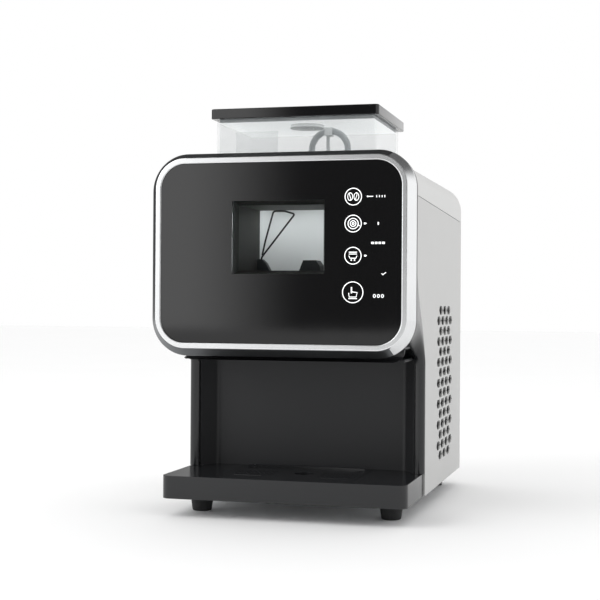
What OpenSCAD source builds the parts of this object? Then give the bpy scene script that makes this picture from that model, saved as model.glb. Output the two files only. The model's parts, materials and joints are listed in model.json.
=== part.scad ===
// Countertop hot-coffee machine: lift-off water tank on top, framed glass fascia
// with a view window, open cup bay, drip tray platform and vented sheet-steel case.
// Millimetres. Origin: centre of the footprint at foot level. Front faces -Y, +Z up.
// Depths are counted backwards from the front plane of the fascia.

/* [Overall] */
// Width of the case and fascia
body_w = 300; // [270:1:360]
// Depth from fascia front to the rear edge
body_d = 426; // [420:1:512]
// Height of the rubber feet
foot_h = 22; // [16:1:30]
// Thickness of the drip platform
platform_t = 27; // [24:1:34]
// Cup clearance between platform and fascia
bay_h = 152; // [125:1:185]
// Height of the fascia
fascia_h = 222; // [215:1:268]
// Height of clear tank seen above the case
tank_rise = 54; // [44:1:90]
// Thickness of the tank lid
lid_t = 12; // [8:1:18]

/* [Fascia] */
// Corner radius of the fascia and the case top
fascia_r = 36; // [24:1:44]
// Depth of the chrome bezel
bezel_depth = 14; // [12:1:18]
// Spread of the bezel's flank beyond its front edge
bezel_flare = 8; // [4:0.5:9]
// Wall of the chrome bezel
bezel_wall = 3; // [2:0.5:4]
// Width of the bezel's front face
bezel_face = 6.5; // [5:0.5:9]
// Thickness of the bezel's front lip
lip_t = 4; // [3:0.5:6]
// Thickness of the glass
glass_t = 3; // [2:0.5:3.5]
// Thickness of the plate that carries the glass
carrier_t = 3; // [2:0.5:5]
// Width of the view window
window_w = 110; // [80:1:120]
// Height of the view window
window_h = 84; // [60:1:86]
// Sideways place of the view window's centre
window_x = -1; // [-20:1:10]
// Height of the window's lower edge above the fascia's lower edge
window_up = 87; // [84:1:90]
// Depth of the dark window surround
surround_d = 93; // [80:1:96]
// Front chamfer of the window surround
surround_chamfer = 4; // [2:0.5:8]

/* [Case] */
// Sheet thickness of the side panels
panel_t = 2; // [1:0.5:3]
// Wall of the moulded front housing
housing_wall = 3; // [2:0.5:4]
// Depth at which the side panels start behind the bezel
seam_d = 65; // [62:1:70]
// Depth at which the side panels start beside the cup bay
pillar_seam_d = 127; // [126:1:130]
// Wall of the moulded top cover
cover_wall = 2.5; // [2:0.5:4]
// Height of the top cover's side
cover_h = 47; // [44:1:52]
// Rounding of the top cover's rear edge
cover_rear_r = 8; // [6:1:16]
// Thickness of the chassis plates
sheet_t = 2; // [1.5:0.5:3]
// Length of one side vent slot
vent_l = 30.5; // [18:0.5:31]
// Height of one side vent slot
vent_h = 11.2; // [6:0.2:11.4]
// Rows of vent slots
vent_rows = 15; // [7:2:15]

/* [Cup bay] */
// Depth of the front face of the side pillars
pillar_d = 120; // [114:1:121]
// Width of each side pillar
pillar_w = 13.4; // [11:0.2:16]
// Depth of the bay's back panel
bay_d = 151; // [146:1:153]
// Front setback of the drip platform behind the fascia
platform_set = 15; // [5:1:24]
// Width of the removable drip insert
insert_w = 165; // [130:1:190]
// Depth of the drip pan
pan_h = 16; // [12:0.5:16]
// Diameter of the centre hole in the drip grille
drain_hole = 24; // [16:1:30]

/* [Water tank] */
// Width of the tank
tank_w = 199; // [170:1:200]
// Depth of the tank, front to back
tank_l = 144; // [130:1:150]
// Wall of the tank
tank_wall = 3; // [2:0.5:4]
// Overhang of the lid at the tank's sides
lid_over = 4.2; // [2:0.2:6]
// Outer diameter of the return hose in the tank
hose_d = 8; // [6:0.5:9]
// Radius of the return hose's arch
hose_arch = 23; // [18:1:24]
// Diameter of the round cap under the lid
cap_d = 42; // [34:1:46]

/* [Powder and brewing] */
// Sideways place of the spout, nozzle and canister
brew_x = 10; // [0:1:12]
// Depth of the spout axis behind the fascia
brew_d = 85; // [82:1:88]
// Width of the powder canister
canister_w = 116; // [90:1:120]
// Length of the powder canister
canister_l = 126; // [100:1:130]
// Radius of the auger
auger_r = 9.5; // [8:0.5:9.5]
// Pitch of the auger
auger_pitch = 30; // [20:1:40]
// Gear module of the canister drive
gear_module = 2; // [2:0.5:2]
// Teeth of the auger gear
auger_teeth = 12; // [12:1:14]
// Teeth of the agitator gear
agitator_teeth = 24; // [22:1:24]
// Size of the square fan
fan_size = 92; // [80:1:92]
// Radius of the boiler
boiler_r = 36; // [28:1:38]

/* [Hidden] */
$fn = 64;

front_y = -body_d / 2;
fit = 0.3;
run_gap = 0.06;
seam_gap = 0.8;
e = 1;
platform_top = foot_h + platform_t;
fascia_z0 = platform_top + bay_h;
body_top = fascia_z0 + fascia_h;
fascia_zc = fascia_z0 + fascia_h / 2;
cover_z0 = body_top - cover_h;
lid_z0 = body_top + tank_rise;
window_z0 = fascia_z0 + window_up;
window_z1 = window_z0 + window_h;
window_x0 = window_x - window_w / 2;
window_x1 = window_x + window_w / 2;
side_x = body_w / 2;
inner_x = side_x - panel_t;
base_z1 = foot_h + sheet_t;
deck_z1 = cover_z0;
deck_z0 = deck_z1 - sheet_t;
rear_in = body_d - 5;
rear_out = rear_in + sheet_t;
bulk_d0 = bay_d + 6;
bulk_d1 = bulk_d0 + sheet_t;
liner_t = 3;
bay_half = side_x - pillar_w;
bay_back_half = bay_half - 15.4;
ceiling_z1 = fascia_z0 - 12;
ceiling_z0 = ceiling_z1 - liner_t;
header_d = seam_d - 5;

// Seam between front housing and side panel: straight behind the bezel, then an
// S-shaped sweep back to the pillar.
seam_top_z = fascia_z0 + 97;
seam_low_z = fascia_z0 - 27;
seam_steps = 12;
function ease(s) = 3 * s * s - 2 * s * s * s;
function seam_at(s, shift) = [
    seam_d + shift + (pillar_seam_d - seam_d) * (1 - ease(s)),
    seam_low_z + (seam_top_z - seam_low_z) * s];
function seam(shift) = [for (i = [0:seam_steps]) seam_at(i / seam_steps, shift)];

// Height of the line between top cover and side panels, falling to the rear
function cover_edge(d) = body_top - 42.3 - (d - seam_d) * 0.0256;

// Depth measured from the fascia front, as a Y coordinate
function fy(d) = front_y + d;

module block(x0, x1, d0, d1, z0, z1) {
    translate([x0, fy(d0), z0]) cube([x1 - x0, d1 - d0, z1 - z0]);
}

module both_sides() {
    children();
    mirror([1, 0, 0]) children();
}

module post_z(x, d, z0, z1, r) {
    translate([x, fy(d), z0]) cylinder(h = z1 - z0, r = r);
}

module rod_y(x, z, d0, d1, r) {
    translate([x, fy(d0), z]) rotate([-90, 0, 0]) cylinder(h = d1 - d0, r = r);
}

module rod_x(d, z, x0, x1, r) {
    translate([x0, fy(d), z]) rotate([0, 90, 0]) cylinder(h = x1 - x0, r = r);
}

// Extrudes a drawing in X and Z from depth d0 to depth d1
module from_front(d0, d1) {
    translate([0, fy(d1), 0]) rotate([90, 0, 0]) linear_extrude(d1 - d0) children();
}

// Extrudes a drawing in depth and Z from x0 to x1
module from_side(x0, x1) {
    translate([x0, front_y, 0]) rotate([90, 0, 90]) linear_extrude(x1 - x0) children();
}

// Extrudes a drawing in X and depth from z0 to z1
module from_top(z0, z1) {
    translate([0, front_y, z0]) linear_extrude(z1 - z0) children();
}

module rounded(w, h, r) {
    square([w - 2 * r, h], center = true);
    square([w, h - 2 * r], center = true);
    for (x = [-1, 1], y = [-1, 1])
        translate([x * (w / 2 - r), y * (h / 2 - r)]) circle(r = r);
}

// Outline of the fascia, stepped inwards by inset
module outline(inset) {
    translate([0, fascia_zc])
        rounded(body_w - 2 * inset, fascia_h - 2 * inset, fascia_r - inset);
}

// Outline of the bezel's flank, spread by grow and set slightly low
module flank_outline(grow) {
    translate([0, fascia_zc - 0.19 * grow])
        rounded(body_w + 2 * grow, fascia_h + 1.9 * grow, fascia_r + grow);
}

module window_rect(grow) {
    translate([window_x0 - grow, window_z0 - grow])
        square([window_w + 2 * grow, window_h + 2 * grow]);
}

bar_sides = 10;

// Bar between two points
module bar(p, q, r) {
    v = q - p;
    len = norm(v);
    translate(p) rotate([0, acos(v[2] / len), atan2(v[1], v[0])])
        cylinder(h = len, r = r, $fn = bar_sides);
}

// Round bar that follows a list of points given as x, depth, z
module bar_run(points, r) {
    p = [for (q = points) [q[0], fy(q[1]), q[2]]];
    for (i = [0:len(p) - 2]) bar(p[i], p[i + 1], r);
    if (len(p) > 2)
        for (i = [1:len(p) - 2]) translate(p[i]) sphere(r = r * 1.06, $fn = bar_sides);
}

module hose(points, r, bore) {
    difference() {
        bar_run(points, r);
        bar_run(points, bore);
    }
}

/* ---- feet and chassis ---- */

foot_r = 15;
foot_x = side_x - 32;
foot_front_d = 81;
foot_rear_d = body_d - 34;
foot_places = [for (x = [-foot_x, foot_x], d = [foot_front_d, foot_rear_d]) [x, d]];
foot_screw_r = 2;
foot_recess_z = foot_h / 2;

module rubber_feet() color("#1b1b1c")
    for (p = foot_places) translate([p[0], fy(p[1]), 0])
        difference() {
            cylinder(h = foot_h, r1 = foot_r - 3.5, r2 = foot_r);
            translate([0, 0, -e]) cylinder(h = foot_recess_z + e, r = 5);
            cylinder(h = foot_h + e, r = foot_screw_r + fit);
        }

// Screws of the feet and of the rear panel
module case_screws() color("#9a9da1") {
    for (p = foot_places) {
        post_z(p[0], p[1], foot_recess_z - 3, foot_recess_z, 4);
        post_z(p[0], p[1], foot_recess_z - 1, base_z1 + 3, foot_screw_r);
    }
    for (p = screw_places) {
        rod_y(p[0], p[1], rear_out, rear_out + 1.6, 3.2);
        rod_y(p[0], p[1], rear_in - 5, rear_out + 0.5, 1.5);
    }
}

// Front part of the base plate lies inside the drip platform's skirt
skirt = 5;
module base_plate() color("#8f9296")
    difference() {
        union() {
            block(-side_x + 2 + skirt, side_x - 2 - skirt, platform_set + 11, pillar_seam_d + 6,
                foot_h, base_z1);
            block(-inner_x, inner_x, pillar_seam_d + 3, rear_in, foot_h, base_z1);
        }
        for (p = foot_places)
            post_z(p[0], p[1], foot_h - e, base_z1 + e, foot_screw_r + 0.1);
    }

module bulkhead() color("#a3a6aa")
    difference() {
        union() {
            block(-inner_x, inner_x, bulk_d0, bulk_d1, base_z1, deck_z0);
            block(-inner_x, inner_x, bulk_d1, bulk_d1 + 14, base_z1, base_z1 + sheet_t);
        }
        rod_y(brew_x, auger_z, bulk_d0 - e, bulk_d1 + e, tube_r + 1);
        rod_y(bowl_inlet_x, bowl_inlet_z, bulk_d0 - e, bulk_d1 + e, 5);
        for (s = [-1, 1])
            rod_y(s * (side_x - 30), body_top - 110, bulk_d0 - e, bulk_d1 + e, 8);
    }

canister_d0 = 240;
canister_d1 = canister_d0 + canister_l;
canister_half = canister_w / 2;
flange_w = 7;
deck_hole_gap = 1;
deck_half = side_x - cover_wall - 0.5;
seat_x = 60;
seat_d = 190;
seat_r = 11;

module upper_deck() color("#a3a6aa")
    difference() {
        block(-deck_half, deck_half, seam_d + 2, rear_out, deck_z0, deck_z1);
        block(brew_x - canister_half - deck_hole_gap, brew_x + canister_half + deck_hole_gap,
            canister_d0 - deck_hole_gap, canister_d1 + deck_hole_gap, deck_z0 - e, deck_z1 + e);
        post_z(seat_x, seat_d, deck_z0 - e, deck_z1 + e, seat_r + fit);
    }

/* ---- drip platform ---- */

platform_half = side_x - 2;
platform_r = 12;
well_half = insert_w / 2;
well_d0 = platform_set + 9;
well_d1 = bay_d - 11;
well_z0 = platform_top - 4 - pan_h - 1;
grille_t = 4;

module platform_plan() {
    hull_x = platform_half - platform_r;
    polygon([[-platform_half, platform_set + platform_r], [platform_half, platform_set + platform_r],
        [platform_half, pillar_seam_d], [-platform_half, pillar_seam_d]]);
    translate([-hull_x, platform_set]) square([2 * hull_x, platform_r + 1]);
    for (s = [-1, 1]) translate([s * hull_x, platform_set + platform_r]) circle(r = platform_r);
    translate([-bay_half + 3, pillar_seam_d - 1]) square([2 * bay_half - 6, bay_d + 5 - pillar_seam_d]);
}

module well_plan(gap) {
    translate([-well_half + gap, well_d0 + gap])
        square([2 * (well_half - gap), well_d1 - well_d0 - 2 * gap]);
}

module drip_base() color("#2c2d2f")
    difference() {
        from_top(foot_h, platform_top) platform_plan();
        block(-platform_half + skirt - fit, platform_half - skirt + fit, platform_set + 11 - fit,
            bay_d + 10, foot_h - e, base_z1);
        from_top(well_z0, platform_top + e) well_plan(0);
        both_sides() block(well_half + 5, platform_half - 4, platform_set + 12, pillar_seam_d - 5,
            foot_h, platform_top - 4);
    }

module drip_pan() color("#252628")
    difference() {
        from_top(well_z0, platform_top - grille_t) well_plan(fit);
        from_top(well_z0 + 2, platform_top) well_plan(fit + 2.2);
    }

perf_r = 1.7;
perf_pitch = 5.6;
module perf_zone(x0, columns, rows) {
    for (i = [0:columns - 1], j = [0:rows - 1])
        post_z(x0 + i * perf_pitch + (j % 2) * perf_pitch / 2, 62 + j * perf_pitch,
            platform_top - grille_t - e, platform_top + e, perf_r);
}

rim_r = 620;
module drip_grille() color("#2a2b2d")
    difference() {
        union() {
            from_top(platform_top - grille_t, platform_top) well_plan(fit);
            intersection() {
                translate([0, fy(well_d1 - rim_r - fit - 0.5), platform_top - 1])
                    difference() {
                        cylinder(h = 3.5, r = rim_r, $fn = 200);
                        translate([0, 0, -e]) cylinder(h = 6, r = rim_r - 3, $fn = 200);
                    }
                block(-well_half + 8, well_half - 8, 100, well_d1 - fit, platform_top - 1,
                    platform_top + 4);
            }
        }
        post_z(brew_x, brew_d, platform_top - grille_t - e, platform_top + e, drain_hole / 2);
        perf_zone(-72, 9, 7);
        perf_zone(34, 8, 7);
    }

/* ---- cup bay ---- */

liner_d = pillar_seam_d - 0.5;
module bay_liner() color("#2b2c2e")
    difference() {
        union() {
            from_top(platform_top, ceiling_z1) polygon([[-bay_half, liner_d], [-bay_half + 0.6, liner_d],
                [-bay_back_half, bay_d], [bay_back_half, bay_d], [bay_half - 0.6, liner_d],
                [bay_half, liner_d], [bay_half, bay_d + liner_t], [-bay_half, bay_d + liner_t]]);
            block(-bay_half, bay_half, header_d + 4, bay_d + liner_t, ceiling_z0, ceiling_z1);
        }
        post_z(brew_x, brew_d, ceiling_z0 - e, ceiling_z1 + e, spout_r + 2);
    }

header_slots = 20;
module header_grille() color("#161617")
    difference() {
        block(-bay_half, bay_half, header_d, header_d + 4, ceiling_z0, fascia_z0);
        for (i = [0:header_slots - 1])
            from_front(header_d - e, header_d + 5)
                translate([(i - header_slots / 2) * 11 + 1, ceiling_z1 + 1])
                    polygon([[0, 0], [7.5, 0], [10.5, 10], [3, 10]]);
    }

// Fillet between the fascia's lower corner and the pillar, in steps across the width
fillet_slices = 4;
fillet_low_z = fascia_z0 - 31;
ring_d = bezel_depth + 0.6;
rim_l = 9.5;
cheek_d = 55;
function corner_z(x) = fascia_z0 + fascia_r
    - sqrt(fascia_r * fascia_r - pow(max(0, x - side_x + fascia_r), 2));
function fillet_arc(z) = [for (i = [0:10]) let (a = 9 * i)
    [cheek_d + (pillar_d - cheek_d) * sin(a), fillet_low_z + (z - fillet_low_z) * cos(a)]];

module cheek(x0, x1) {
    from_side(x0, x1) polygon(concat(
        [[cheek_d, seam_top_z + 10]],
        fillet_arc(corner_z((x0 + x1) / 2)),
        [[pillar_d, seam_low_z]],
        seam(0),
        [[seam_d, seam_top_z + 10]]));
}

pillar_r = (pillar_w - 0.2) / 2;
// Waste outside the half-round front of a pillar
module pillar_corner() {
    difference() {
        translate([side_x - 2 * pillar_r - e, pillar_d - e])
            square([2 * pillar_r + 2 * e, pillar_r + e]);
        translate([side_x - pillar_r, pillar_d + pillar_r]) circle(r = pillar_r);
    }
}

module front_housing() color("#2f3032")
    difference() {
        union() {
            // tongue inside the bezel
            from_front(lip_t + carrier_t, bezel_depth + 2) outline(bezel_wall + fit);
            from_front(ring_d, seam_d) outline(0);
            from_front(ring_d, ring_d + rim_l) flank_outline(bezel_flare - 0.5);
            both_sides() for (i = [0:fillet_slices - 1])
                cheek(bay_half + 0.2 + i * (pillar_w - 0.2) / fillet_slices,
                    bay_half + 0.2 + (i + 1) * (pillar_w - 0.2) / fillet_slices);
            both_sides() block(bay_half + 0.2, side_x, pillar_d, pillar_seam_d, platform_top,
                seam_low_z);
            block(-bay_half - 0.2, bay_half + 0.2, seam_d - 1, bulk_d0, fascia_z0,
                fascia_z0 + housing_wall);
        }
        from_front(lip_t, bezel_depth + 1) outline(bezel_wall + fit + 2.5);
        both_sides() from_top(platform_top - e, fillet_low_z) pillar_corner();
        difference() {
            block(-side_x + housing_wall, side_x - housing_wall, bezel_depth, bulk_d0 + 1,
                fascia_z0 + housing_wall, body_top + 1);
            difference() {
                block(-side_x, side_x, bezel_depth, seam_d, fascia_z0, body_top + 1);
                from_front(bezel_depth, seam_d) outline(bezel_wall + fit + 2.5);
            }
        }
        post_z(brew_x, brew_d, fascia_z0 - e, fascia_z0 + housing_wall + e, spout_r + fit);
    }

/* ---- fascia ---- */

flank_d = bezel_depth - 2;

// Body that widens with the bezel's flank from depth d0 on
module flared(inset, d0, d1) {
    hull() {
        from_front(d0, d0 + 0.01) outline(inset);
        from_front(flank_d, d1) flank_outline(bezel_flare - inset);
    }
}

// Plated frame: front face, flared flank and an inner wall, hollow behind
module chrome_bezel() color("#d8dadb")
    difference() {
        flared(0, 0, bezel_depth);
        difference() {
            flared(2.4, 2, bezel_depth + e);
            from_front(0, bezel_depth + 2 * e) outline(0.4);
        }
        from_front(lip_t, bezel_depth + 2 * e) outline(bezel_wall);
        from_front(-e, lip_t + e) outline(bezel_face);
    }

glass_back = lip_t;
module glass_panel() color("#0c0d0e")
    from_front(glass_back - glass_t, glass_back) difference() {
        outline(bezel_face + fit);
        window_rect(0);
    }

module window_pane() color("#8fa0a8", 0.35)
    from_front(glass_back - glass_t, glass_back) window_rect(-0.05);

surround_wall = 2;
module fascia_carrier() color("#1c1d1e")
    from_front(lip_t, lip_t + carrier_t) difference() {
        outline(bezel_wall + fit);
        window_rect(0);
    }

module touch_board() color("#1f5a37") {
    d0 = lip_t + carrier_t;
    block(window_x1 + 14, side_x - 18, d0, d0 + 1.6, fascia_z0 + 45, body_top - 24);
    for (z = [fascia_z0 + 66, fascia_z0 + 107, fascia_z0 + 144, fascia_z0 + 174])
        rod_y(88, z, d0 + 1.5, d0 + 4, 6);
}

surround_d0 = lip_t + carrier_t;
surround_d1 = surround_d0 + surround_d;
module window_surround() color("#232421")
    difference() {
        from_front(surround_d0, surround_d1) window_rect(surround_wall);
        hull() {
            from_front(surround_d0 - 0.1, surround_d0 + 0.1) window_rect(0);
            from_front(surround_d0 + 2 * surround_chamfer, surround_d0 + 2 * surround_chamfer + 0.1)
                window_rect(-surround_chamfer);
        }
        from_front(surround_d0 + 2 * surround_chamfer, surround_d1 + e)
            window_rect(-surround_chamfer);
    }

/* ---- mixing chamber seen through the window ---- */

liner_sag = 31;
liner_half = window_w / 2 - surround_chamfer + 1.5;
liner_r = (liner_half * liner_half + liner_sag * liner_sag) / (2 * liner_sag);
auger_z = window_z0 + 6;
tube_r = auger_r + 2.5;
nozzle_d0 = surround_d1 + 0.4;
nozzle_d1 = nozzle_d0 + 24;

module chamber_liner() color("#e9eaea")
    difference() {
        intersection() {
            translate([window_x, fy(surround_d1 + liner_sag - liner_r), window_z0 - surround_wall])
                difference() {
                    cylinder(h = window_h + 2 * surround_wall, r = liner_r + 2, $fn = 128);
                    translate([0, 0, -e]) cylinder(h = window_h + 6, r = liner_r, $fn = 128);
                }
            block(window_x - liner_half - 4, window_x + liner_half + 4, surround_d1,
                surround_d1 + liner_sag + 3, window_z0 - surround_wall, window_z1 + surround_wall);
        }
        rod_y(brew_x, auger_z, surround_d1 + 5, surround_d1 + liner_sag + 9, tube_r + fit);
        block(brew_x - 16, brew_x + 16, surround_d1 + 5, surround_d1 + liner_sag + 9,
            window_z0 - 5, auger_z);
    }

wire_d = surround_d1 - 6;
wire_r = 1.1;
wire_x0 = window_x0 + surround_chamfer;
wire_low_z = window_z0 + 18;
wire_top_z = window_z1 - surround_chamfer;
module wire_bracket() color("#1d1d1e")
    difference() {
        from_front(wire_d - 5, wire_d + 5) polygon([[wire_x0, window_z0 + surround_chamfer],
            [wire_x0 + 17, window_z0 + surround_chamfer], [wire_x0 + 11, window_z0 + 15],
            [wire_x0 + 6, wire_low_z + 2], [wire_x0, wire_low_z + 2]]);
        post_z(wire_x0 + 4, wire_d, wire_low_z - 4, wire_low_z + 3, wire_r + 0.05);
    }

module flap_wire() color("#111112")
    bar_run([[wire_x0 + 4, wire_d, wire_low_z - 4], [wire_x0 + 4, wire_d, wire_low_z + 3],
        [wire_x0 + 46, wire_d, wire_top_z - 5], [wire_x0 + 33, wire_d, wire_top_z - 1.2],
        [wire_x0 + 19, wire_d, wire_top_z - 1.2], [wire_x0 + 9, wire_d, wire_low_z + 24],
        [wire_x0 + 5, wire_d, wire_low_z + 6]], wire_r);

module powder_nozzle() color("#2a2b2d")
    difference() {
        from_front(nozzle_d0, nozzle_d1) polygon([[brew_x - tube_r - 1, window_z0 - 6],
            [brew_x + tube_r + 2, window_z0 - 6], [brew_x + tube_r + 2, auger_z + 6],
            [brew_x + tube_r - 3, auger_z + tube_r + 1], [brew_x - tube_r + 5, auger_z + tube_r + 1],
            [brew_x - tube_r - 1, auger_z - 2]]);
        rod_y(brew_x, auger_z, nozzle_d0 + 3, nozzle_d1 + e, auger_r + 0.7);
        block(brew_x - 8, brew_x + 8, nozzle_d0 + 3, nozzle_d1 - 5, window_z0 - 7, auger_z);
    }

/* ---- powder canister and its drive ---- */

canister_top = body_top - cover_wall - 4.5;
shaft_r = 3;
agitator_shaft_r = 2.5;
gear_gap = gear_module * (auger_teeth + agitator_teeth) / 2;
agitator_z = auger_z + gear_gap;
gear_d0 = canister_d1 + 2;
gear_t = 6;
motor_plate_d0 = gear_d0 + gear_t + 2;

module canister_profile(inset) {
    half = canister_half - inset;
    r = tube_r - inset;
    top = inset > 0 ? canister_top + e : canister_top;
    translate([brew_x, 0]) {
        polygon([[-half, top], [-half, auger_z + 54], [-r, auger_z], [r, auger_z],
            [half, auger_z + 54], [half, top]]);
        translate([0, auger_z]) circle(r = r);
    }
}

module powder_canister() color("#d7d8d4")
    difference() {
        union() {
            from_front(canister_d0, canister_d1) canister_profile(0);
            rod_y(brew_x, auger_z, nozzle_d1, canister_d0 + 1, tube_r);
            block(brew_x - canister_half - flange_w, brew_x + canister_half + flange_w,
                canister_d0 - flange_w, canister_d1 + flange_w, deck_z1, deck_z1 + 2);
        }
        from_front(canister_d0 + 2, canister_d1 - 2) canister_profile(2);
        rod_y(brew_x, auger_z, nozzle_d1 - e, canister_d1 - 3, auger_r + 0.7);
        rod_y(brew_x, auger_z, canister_d1 - 4, canister_d1 + e, shaft_r + run_gap);
        rod_y(brew_x, agitator_z, canister_d0 - e, canister_d1 + e, agitator_shaft_r + run_gap);
    }

auger_d0 = nozzle_d0 + 6;
auger_d1 = canister_d1 - 3;
auger_slices = 12;
module auger_screw() color("#e6e6e2") {
    turns = (auger_d1 - auger_d0) / auger_pitch;
    translate([brew_x, fy(auger_d0), auger_z]) rotate([-90, 0, 0])
        linear_extrude(auger_d1 - auger_d0, twist = 360 * turns, slices = ceil(turns * auger_slices),
            $fn = 8) {
            square([2 * auger_r, 2.4], center = true);
            circle(r = shaft_r, $fn = 12);
        }
    rod_y(brew_x, auger_z, auger_d1, motor_plate_d0 + sheet_t + 8, shaft_r);
}

// Spur gear with straight-flanked teeth, tip to the side by turn degrees
function tooth(n, i, turn) = let (p = gear_module * n / 2, a = 360 / n * i + turn, q = 90 / n) [
    [(p - 1.1 * gear_module) * cos(a - 1.55 * q), (p - 1.1 * gear_module) * sin(a - 1.55 * q)],
    [p * cos(a - 0.9 * q), p * sin(a - 0.9 * q)],
    [(p + 0.9 * gear_module) * cos(a - 0.39 * q), (p + 0.9 * gear_module) * sin(a - 0.39 * q)],
    [(p + 0.9 * gear_module) * cos(a + 0.39 * q), (p + 0.9 * gear_module) * sin(a + 0.39 * q)],
    [p * cos(a + 0.9 * q), p * sin(a + 0.9 * q)],
    [(p - 1.1 * gear_module) * cos(a + 1.55 * q), (p - 1.1 * gear_module) * sin(a + 1.55 * q)]];

module gear(n, z, bore, turn) {
    from_front(gear_d0, gear_d0 + gear_t) translate([brew_x, z]) difference() {
        polygon([for (i = [0:n - 1]) for (p = tooth(n, i, turn)) p]);
        circle(r = bore);
    }
}

module auger_gear() color("#f0efe8") gear(auger_teeth, auger_z, shaft_r + 0.03, 90);

module agitator_gear() color("#f0efe8")
    gear(agitator_teeth, agitator_z, agitator_shaft_r + 0.03, -90 + 180 / agitator_teeth);

wheel_r = min(20, gear_gap - auger_r - 4);
module agitator_wheel() color("#e6e6e2") {
    rod_y(brew_x, agitator_z, canister_d0 - 3, gear_d0 + gear_t + 1, agitator_shaft_r);
    for (d = [canister_d0 + 22, canister_d0 + 62, canister_d0 + 98])
        translate([brew_x, fy(d), agitator_z]) for (k = [0:3])
            rotate([0, 90 * k, 0]) translate([-1.5, 0, 2]) cube([3, 4, wheel_r - 2]);
}

module motor_bracket() color("#a3a6aa")
    difference() {
        union() {
            block(brew_x - 24, brew_x + 24, motor_plate_d0, motor_plate_d0 + sheet_t,
                auger_z - 24, deck_z0);
            block(brew_x - 24, brew_x + 24, motor_plate_d0, motor_plate_d0 + 14,
                deck_z0 - sheet_t, deck_z0);
        }
        rod_y(brew_x, auger_z, motor_plate_d0 - e, motor_plate_d0 + sheet_t + e, shaft_r + 2);
    }

motor_d0 = motor_plate_d0 + sheet_t;
module auger_motor() color("#6d7074")
    difference() {
        union() {
            block(brew_x - 20, brew_x + 20, motor_d0, motor_d0 + 16, auger_z - 20, auger_z + 20);
            rod_y(brew_x, auger_z, motor_d0 + 15, motor_d0 + 30, 16);
        }
        rod_y(brew_x, auger_z, motor_d0 - e, motor_d0 + 10, shaft_r + run_gap);
    }

/* ---- mixing and pouring ---- */

spout_r = 8;
spout_tip_z = ceiling_z1 - 1.5;
flange_z1 = fascia_z0 + housing_wall + 2;
bowl_neck_z = flange_z1 + 16;
bowl_low_r = 20;
bowl_top_r = 32;
bowl_mid_z = bowl_neck_z + 34;
bowl_top_z = bowl_mid_z + 18;
bowl_wall = 2.5;
impeller_z = bowl_neck_z + 17;
bowl_inlet_x = brew_x + 16;
bowl_inlet_z = bowl_mid_z + 8;
whip_r = 2.5;

module mixing_bowl() color("#dfe3e4")
    difference() {
        translate([brew_x, fy(brew_d), 0]) union() {
            translate([0, 0, flange_z1]) cylinder(h = bowl_neck_z - flange_z1 + 1, r = 9);
            translate([0, 0, bowl_neck_z]) cylinder(h = bowl_mid_z - bowl_neck_z, r = bowl_low_r);
            translate([0, 0, bowl_mid_z])
                cylinder(h = bowl_top_z - bowl_mid_z, r1 = bowl_low_r, r2 = bowl_top_r);
            translate([bowl_inlet_x - brew_x, 12, bowl_inlet_z]) rotate([-90, 0, 0])
                cylinder(h = 19, r = 3);
        }
        translate([brew_x, fy(brew_d), 0]) union() {
            translate([0, 0, flange_z1 - e]) cylinder(h = 30, r = 5);
            translate([0, 0, bowl_neck_z + bowl_wall])
                cylinder(h = bowl_mid_z - bowl_neck_z - bowl_wall, r = bowl_low_r - bowl_wall);
            translate([0, 0, bowl_mid_z - 0.01]) cylinder(h = bowl_top_z - bowl_mid_z + 0.02,
                r1 = bowl_low_r - bowl_wall, r2 = bowl_top_r - bowl_wall);
            translate([bowl_inlet_x - brew_x, 2, bowl_inlet_z]) rotate([-90, 0, 0])
                cylinder(h = 40, r = 1.8);
        }
        rod_y(brew_x, impeller_z, brew_d + 10, brew_d + bowl_low_r + 2, whip_r + run_gap);
    }

module spout_nozzle() color("#3a3b3d")
    difference() {
        union() {
            post_z(brew_x, brew_d, spout_tip_z, fascia_z0 + housing_wall + 1, spout_r);
            post_z(brew_x, brew_d, fascia_z0 + housing_wall, flange_z1, spout_r + 4);
        }
        post_z(brew_x, brew_d, spout_tip_z - e, flange_z1 + e, 5);
    }

module whipper_impeller() color("#f2f2ee") {
    rod_y(brew_x, impeller_z, brew_d - 6, bulk_d0 - 30, whip_r);
    rod_y(brew_x, impeller_z, brew_d + 3, brew_d + 5, 11);
    for (k = [0:5]) translate([brew_x, fy(brew_d - 5), impeller_z])
        rotate([0, 60 * k, 0]) translate([-1, 0, 2]) cube([2, 9, 8.5]);
}

module whipper_motor() color("#6d7074")
    difference() {
        union() {
            rod_y(brew_x, impeller_z, bulk_d0 - 36, bulk_d0, 14);
            block(brew_x - 18, brew_x + 18, bulk_d0 - 3, bulk_d0, impeller_z - 12, impeller_z + 12);
        }
        rod_y(brew_x, impeller_z, bulk_d0 - 37, bulk_d0 - 28, whip_r + run_gap);
    }

/* ---- case ---- */

vent_pitch_d = 33;
vent_pitch_z = 13.4;
vent_tip = 7;
vent_d = body_d - 146;
vent_z = foot_h + 37;

// Six-sided slot with pointed ends
module slot(d, z) {
    l = vent_l / 2;
    h = vent_h / 2;
    translate([d, z]) polygon([[-l, 0], [vent_tip - l, h], [l - vent_tip, h], [l, 0],
        [l - vent_tip, -h], [vent_tip - l, -h]]);
}

// Staggered rows of three and four slots
module vent_field() {
    for (r = [0:vent_rows - 1]) let (n = 3 + r % 2)
        for (c = [0:n - 1])
            slot(vent_d + (c - (n - 1) / 2) * vent_pitch_d, vent_z + r * vent_pitch_z);
}

module side_panel() {
    from_side(inner_x, side_x) difference() {
        polygon(concat([[body_d, foot_h], [pillar_seam_d + seam_gap + 1, foot_h]],
            seam(seam_gap),
            [[seam_d + seam_gap, cover_edge(seam_d)], [body_d, cover_edge(body_d)]]));
        vent_field();
    }
}

module side_panel_right() color("#cdcdcb") side_panel();

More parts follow.
